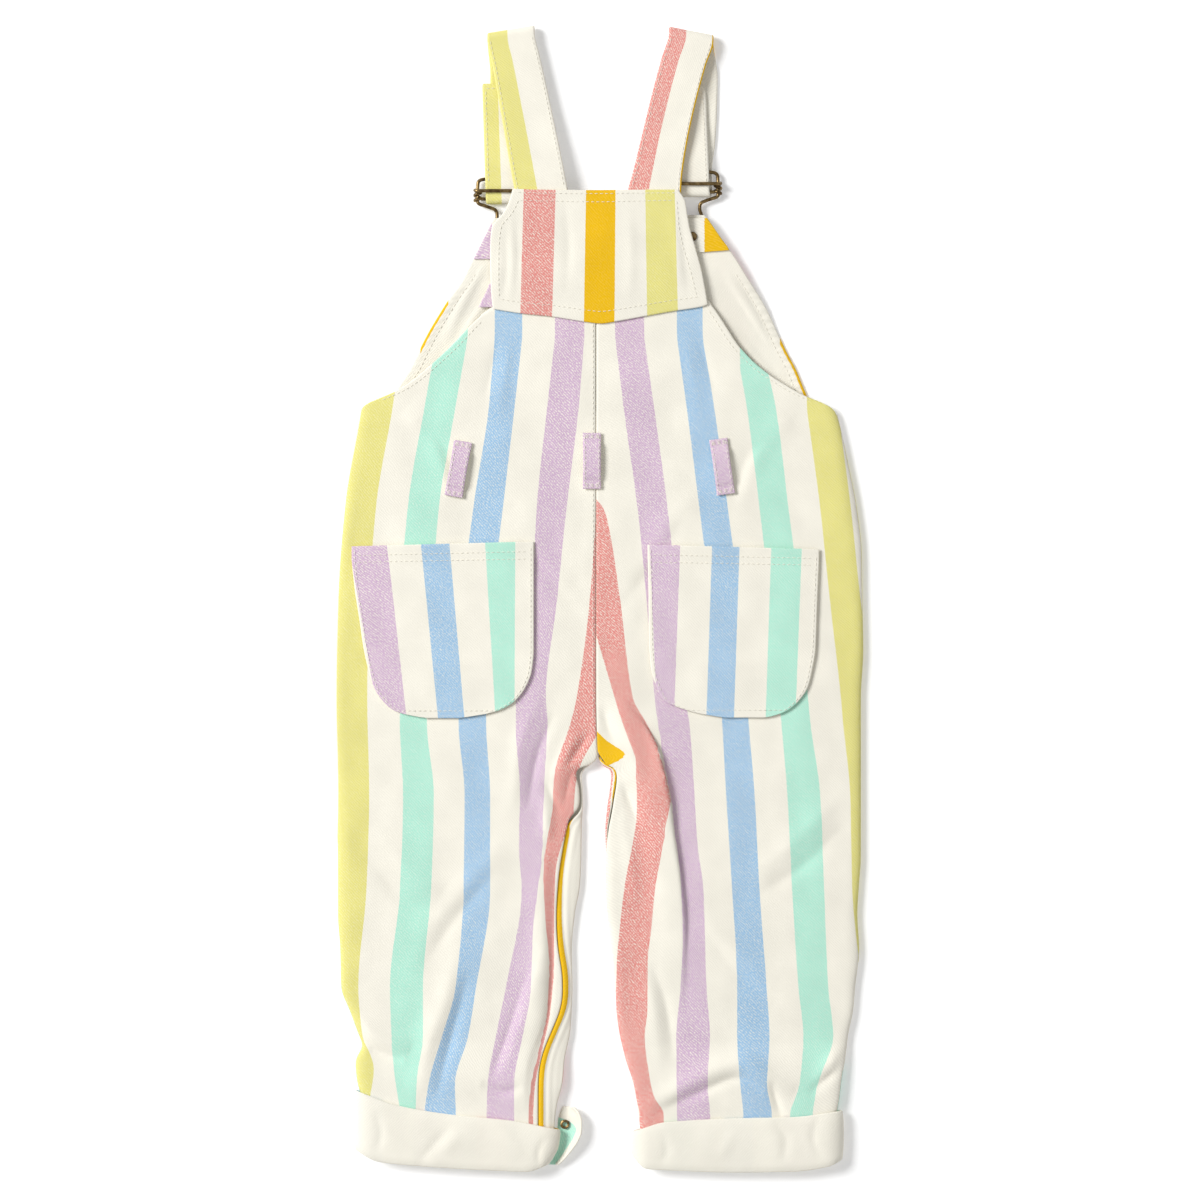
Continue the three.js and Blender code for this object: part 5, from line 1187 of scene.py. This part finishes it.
# The profile from the hem down to the fold, as (share of the way, height off the leg). Then it bends in.
FOLD_DROP = 1.6
CUFF_PROFILE = [(0, 0.85), (0.012, 0.87), (0.03, 0.9), (0.06, 0.95)]
CUFF_PROFILE += [(t, 0.95 + 0.75 * math.sin(math.pi * t) ** 0.7) for t in np.linspace(0.1, 0.9, 14)]
CUFFS = {
    "left": {"from": -150.9, "to": -26.2, "slant": [(-331, 0), (-341, 1.8), (-348, 5), (-354, 8)],
             "top": [(-153, -304.5), (-125, -314.5), (-90, -320.3), (-53, -324), (-29, -329), (-21, -331)],
             "bottom": [(-153, -341.6), (-138, -349.5), (-113, -352.3), (-63, -355.3), (-45, -355.9),
                        (-31, -353), (-20, -350)],
         "creases": [(-0.9, 2.6, [(-92, -327), (-104, -340), (-114, -352)]),
                     (0.8, 4, [(-86, -330), (-99, -345)]),
                     (-0.8, 2.2, [(-139, -318), (-136, -332), (-139, -344)]),
                     (0.6, 4, [(-60, -330), (-48, -346)]),
                     (-0.9, 2, [(-33, -333), (-37, -343), (-35, -352)])]},
    "right": {"from": 22, "to": 150, "slant": [(-331, 0), (-354, 0)],
              "top": [(21, -331), (41, -324.7), (90, -322.2), (119, -321.6), (152, -317.6)],
              "bottom": [(21, -346), (29, -354), (44, -355), (83, -356.3), (119, -355.9), (142, -352.8),
                         (152, -348)],
              "creases": [(-0.9, 2.8, [(108, -324), (116, -336), (114, -350)]),
                          (0.7, 4, [(84, -330), (74, -348)]),
                          (-0.8, 2.4, [(136, -321), (133, -334), (138, -348)]),
                          (-0.7, 2.4, [(38, -330), (42, -342), (37, -352)])]},
}


def cuff_noise(x, y, level):
    """Slight softness along a cuff, different on its two sides."""
    height, across, down = CUFF_WAVE
    return np.array([height * noise.noise(Vector((a / across, b / down, c))) for a, b, c in zip(x, y, level)])


def cuff(shape):
    """A turned-up leg end: stations round the leg, each a profile from the top hem to the inside."""
    low, high = shape["from"], shape["to"]
    middle_z = (CUFF_CLOTH + LEG_TOP + GAP) / 2
    half_z = (LEG_TOP + GAP - CUFF_CLOTH) / 2
    flat = np.linspace(low + CUFF_TURN, high - CUFF_TURN, CUFF_COLUMNS)
    one, none = np.ones(CUFF_COLUMNS), np.zeros(CUFF_COLUMNS)
    angle = np.radians(np.linspace(80, -80, 15))
    spots = np.concatenate([flat, high - CUFF_TURN + CUFF_TURN * np.cos(angle), flat[::-1],
                            low + CUFF_TURN - CUFF_TURN * np.cos(angle[::-1])])
    level = np.concatenate([one, np.sin(angle), -one, np.sin(angle[::-1])])
    out_x = np.concatenate([none, np.cos(angle), none, -np.cos(angle[::-1])])
    top, bottom = smooth(shape["top"], spots), smooth(shape["bottom"], spots)
    rows = [(top + (bottom + FOLD_DROP - top) * share, out) for share, out in CUFF_PROFILE]
    for bend in np.radians(np.linspace(60, -90, 9)):
        rows.append((bottom + FOLD_DROP - 0.9 * math.cos(bend), -0.1 + 1.05 * math.sin(bend)))
    rows.append((bottom + 4, -1.15))
    grid = []
    for y, out in rows:
        slant = smooth(shape["slant"], y) * fade(spots, high - CUFF_SLANTED, high) ** 2
        crease = CUFF_SOFTNESS * out * cuff_noise(spots, y, level)
        crease = crease + crease_height(spots, y, shape["creases"]) * np.abs(level)
        z = middle_z + half_z * level + level * (out + crease)
        grid.append(np.stack([spots + out_x * out - slant, y, np.maximum(z, CLOTH / 2)], axis=1))
    return np.array(grid)


for side, shape in CUFFS.items():
    grid = cuff(shape)
    make_up(f"cuff_{side}", grid, grid[..., 0], grid[..., 1], "plain_twill", hems=(CUFF_HEM, 0, 0, 0),
            plain_up=True, closed=True, flat=(0.29, 0.045), held="folded")

# The left cuff's open inner end: its corner lies turned out with the printed mint stripe up and its cut
# edge curling, and carries one half of a press fastener.

END_ROWS = {
    "from": [(-316, -23), (-319, -24.5), (-325, -26), (-331, -26.4), (-343, -28.4), (-348.5, -31),
             (-352.5, -34)],
    "to": [(-316, -16.4), (-319, -13), (-325, -11), (-331, -11.2), (-337, -13.4), (-343, -17.6),
           (-348.5, -22), (-352.5, -26)],
    "curl": [(-316, 0.6), (-319, 0.85), (-325, 1), (-337, 1), (-343, 0.9), (-348.5, 0.7), (-352.5, 0.5)],
}
MINT_EDGE = [(-316, -30), (-321.5, -29), (-323.4, -24.7), (-326, -18), (-330, -14.8), (-334, -16),
             (-343, -21.4), (-351, -27), (-354, -30)]
END_CURL = [(0, 0), (0.3, 0), (0.6, 1), (0.85, 3.8), (1, 7.2)]
END_WIDTH = 12
rows = hem_rows(-316, -352.4, 1.6)
across = laid_grid([0], [END_WIDTH], 18)[0] / END_WIDTH
from_x, to_x, curl = (smooth(END_ROWS[key], rows)[:, None] for key in ("from", "to", "curl"))
x = from_x + (to_x - from_x) * across
z = smooth(END_CURL, across)[None, :] * curl + CLOTH / 2
y = np.repeat(rows[:, None], x.shape[1], axis=1)
places = (1 + STRIPE) * PITCH + x - smooth(MINT_EDGE, rows)[:, None]
make_up("cuff_end_left", np.stack([x, y, z], 2), places, y, hems=(HEM,) * 4, flat=(0.02, 0.04))

# Buckles: a frame of dark bronze wire with a loop that holds the bib's button, a slider whose two bars
# cross the strap, and riveted buttons through the bib.

BUCKLES = {"left": (-56.2, 250.6, -0.3), "right": (54.1, 255, 1)}
BUCKLE_HALF = 19.8
FRAME_HALF = [
    (1, 12.2), (10, 12.2), (16.5, 12.2), (19.1, 11), (19.8, 8), (19.8, 4), (19.8, 1), (19.8, -1.6),
    (19.4, -2.6), (15.5, -4.2), (11.5, -5.6), (8.4, -7.2), (7.4, -9.8), (8, -15), (9, -21), (9.4, -27),
    (8.2, -32.5), (4.6, -36.2),
]
LOOP_SHIFT = [(-36.2, 3), (-27, 3), (-8, 0.8), (0, 0)]
# The slider's wire coils round both sides of the frame, then climbs over the strap's tail as its upper bar.
COIL_RADIUS = 1.7
COIL_STEPS = 12
COIL_FOOT = -1.1
COIL_LENGTH = 6.6
BAR_DROP = 4.7
OVER_TAIL = 8.2
BAR_HOOK = [(0.9, WIRE_PLANE + 1.4), (1.2, WIRE_PLANE + 3), (0.7, OVER_TAIL - 0.4), (-1.2, OVER_TAIL)]


def bronze_material():
    """Antiqued brass plate: dark brown in the hollows, rubbed brighter where it is handled."""
    material, tree, shader = new_material("antique_bronze")
    wear = piece_noise(tree, 260.0, 5.0)
    ramp = node(tree, "ShaderNodeValToRGB", Fac=wear)
    ramp.color_ramp.elements[0].position = 0.35
    ramp.color_ramp.elements[0].color = (0.085, 0.05, 0.02, 1)
    ramp.color_ramp.elements[1].position = 0.68
    ramp.color_ramp.elements[1].color = (0.36, 0.25, 0.11, 1)
    feed(tree, shader, {
        "Base Color": ramp.outputs["Color"], "Roughness": spread(tree, wear, 0.0, 1.0, 0.45, 0.25),
        "Normal": bumps(tree, wear, 0.2, 0.0001), "Metallic": 1.0})
    return material


BRONZE = bronze_material()


def wire(name, lines):
    """Round wire along smooth lines of points, as one piece."""
    curve = bpy.data.curves.new(name, "CURVE")
    curve.dimensions = "3D"
    curve.bevel_depth = WIRE * MM
    curve.bevel_resolution = 4
    curve.use_fill_caps = True
    for points in lines:
        spline = curve.splines.new("BEZIER")
        spline.bezier_points.add(len(points) - 1)
        for knot, point in zip(spline.bezier_points, points):
            knot.co = (np.array(point) + SHIFT) * MM
            knot.handle_left_type = knot.handle_right_type = "AUTO"
        spline.resolution_u = 6
    shape = bpy.data.objects.new(name, curve)
    mesh = bpy.data.meshes.new_from_object(shape)
    bpy.data.objects.remove(shape)
    mesh.shade_smooth()
    mesh.materials.append(BRONZE)
    return set_out(name, mesh)


for side, (centre_x, bar_y, mirror) in BUCKLES.items():
    shifts = mirror * smooth(LOOP_SHIFT, np.array([y for _, y in FRAME_HALF]))
    halves = [[(centre_x + way * x + s, bar_y + y, WIRE_PLANE) for (x, y), s in zip(FRAME_HALF, shifts)]
              for way in (1, -1)]
    made = wire(f"buckle_{side}_wire", [halves[0] + halves[1][::-1]])
    sew(made, f"buckle_{side}")
    bars = []
    for way in (-1, 1):
        edge = centre_x + way * BUCKLE_HALF
        coil = []
        for k in range(2 * COIL_STEPS + 1):
            angle = k / COIL_STEPS * 2 * math.pi
            coil.append((edge + way * COIL_RADIUS * math.cos(angle),
                         bar_y + COIL_FOOT + k / (2 * COIL_STEPS) * COIL_LENGTH,
                         WIRE_PLANE + COIL_RADIUS * math.sin(angle)))
        bars.append(coil)
        bars.append([(edge + way * out, bar_y + BAR_DROP, z) for out, z in BAR_HOOK])
    for drop, half, z in ((BAR_DROP, BUCKLE_HALF - 1, OVER_TAIL), (0, BUCKLE_HALF - 2, WIRE_PLANE)):
        bars.append([(centre_x + out, bar_y + drop, z) for out in (-half, 0, half)])
    made = wire(f"buckle_slider_{side}_wire", bars)
    sew(made, f"buckle_slider_{side}")

for name in ("bib_button_left", "bib_button_right", "button_back_left", "button_back_right", "popper_left"):
    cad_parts[name].data.materials.clear()
    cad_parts[name].data.materials.append(BRONZE)

# The picture: a plain white paper floor that the garment lies on, a broad soft light from the upper left
# with a faint fill from the lower right, and the camera straight above the middle.

FLOOR_HALF = 3.0
FLOOR_Z = -0.0002
CAMERA_HEIGHT = 2.6
SENSOR = 36
PICTURE = 750
PICTURE_MIDDLE = 0.3
mesh = bpy.data.meshes.new("floor")
corners = [(-FLOOR_HALF, -FLOOR_HALF), (FLOOR_HALF, -FLOOR_HALF), (FLOOR_HALF, FLOOR_HALF),
           (-FLOOR_HALF, FLOOR_HALF)]
mesh.from_pydata([(*corner, FLOOR_Z) for corner in corners], [], [(0, 1, 2, 3)])
floor = set_out("floor", mesh)
paper, tree, shader = new_material("white_paper")
grain = node(tree, "ShaderNodeTexNoise", Scale=60.0, Detail=3.0)
feed(tree, shader, {"Base Color": spread(tree, grain.outputs["Fac"], 0.0, 1.0, 0.94, 0.96), "Roughness": 0.9,
                    "Specular IOR Level": 0.0, "Emission Color": (1, 1, 1, 1), "Emission Strength": 0.18})
mesh.materials.append(paper)

world = bpy.data.worlds.new("studio")
bpy.context.scene.world = world
world.use_nodes = True
feed(world.node_tree, world.node_tree.nodes["Background"], {"Color": (1, 1, 1, 1), "Strength": 0.36})


def soft_light(name, place, size, power):
    """A square soft box aimed at the garment."""
    lamp = bpy.data.lights.new(name, "AREA")
    lamp.shape = "SQUARE"
    lamp.size = size
    lamp.energy = power
    holder = set_out(name, lamp)
    holder.location = place
    holder.rotation_mode = "QUATERNION"
    holder.rotation_quaternion = (-Vector(place)).to_track_quat("-Z", "Y")


soft_light("key", (-3.3, 1.5, 3.1), 1.9, 224)
soft_light("fill", (1.3, -1.6, 2.6), 2.0, 12)

camera = set_out("camera", bpy.data.cameras.new("camera"))
camera.location = ((PICTURE_MIDDLE + SHIFT[0]) * MM, (PICTURE_MIDDLE + SHIFT[1]) * MM, CAMERA_HEIGHT)
camera.data.sensor_width = SENSOR
camera.data.lens = SENSOR * CAMERA_HEIGHT / (PICTURE * MM)
bpy.context.scene.camera = camera
bpy.context.scene.view_settings.view_transform = "Standard"
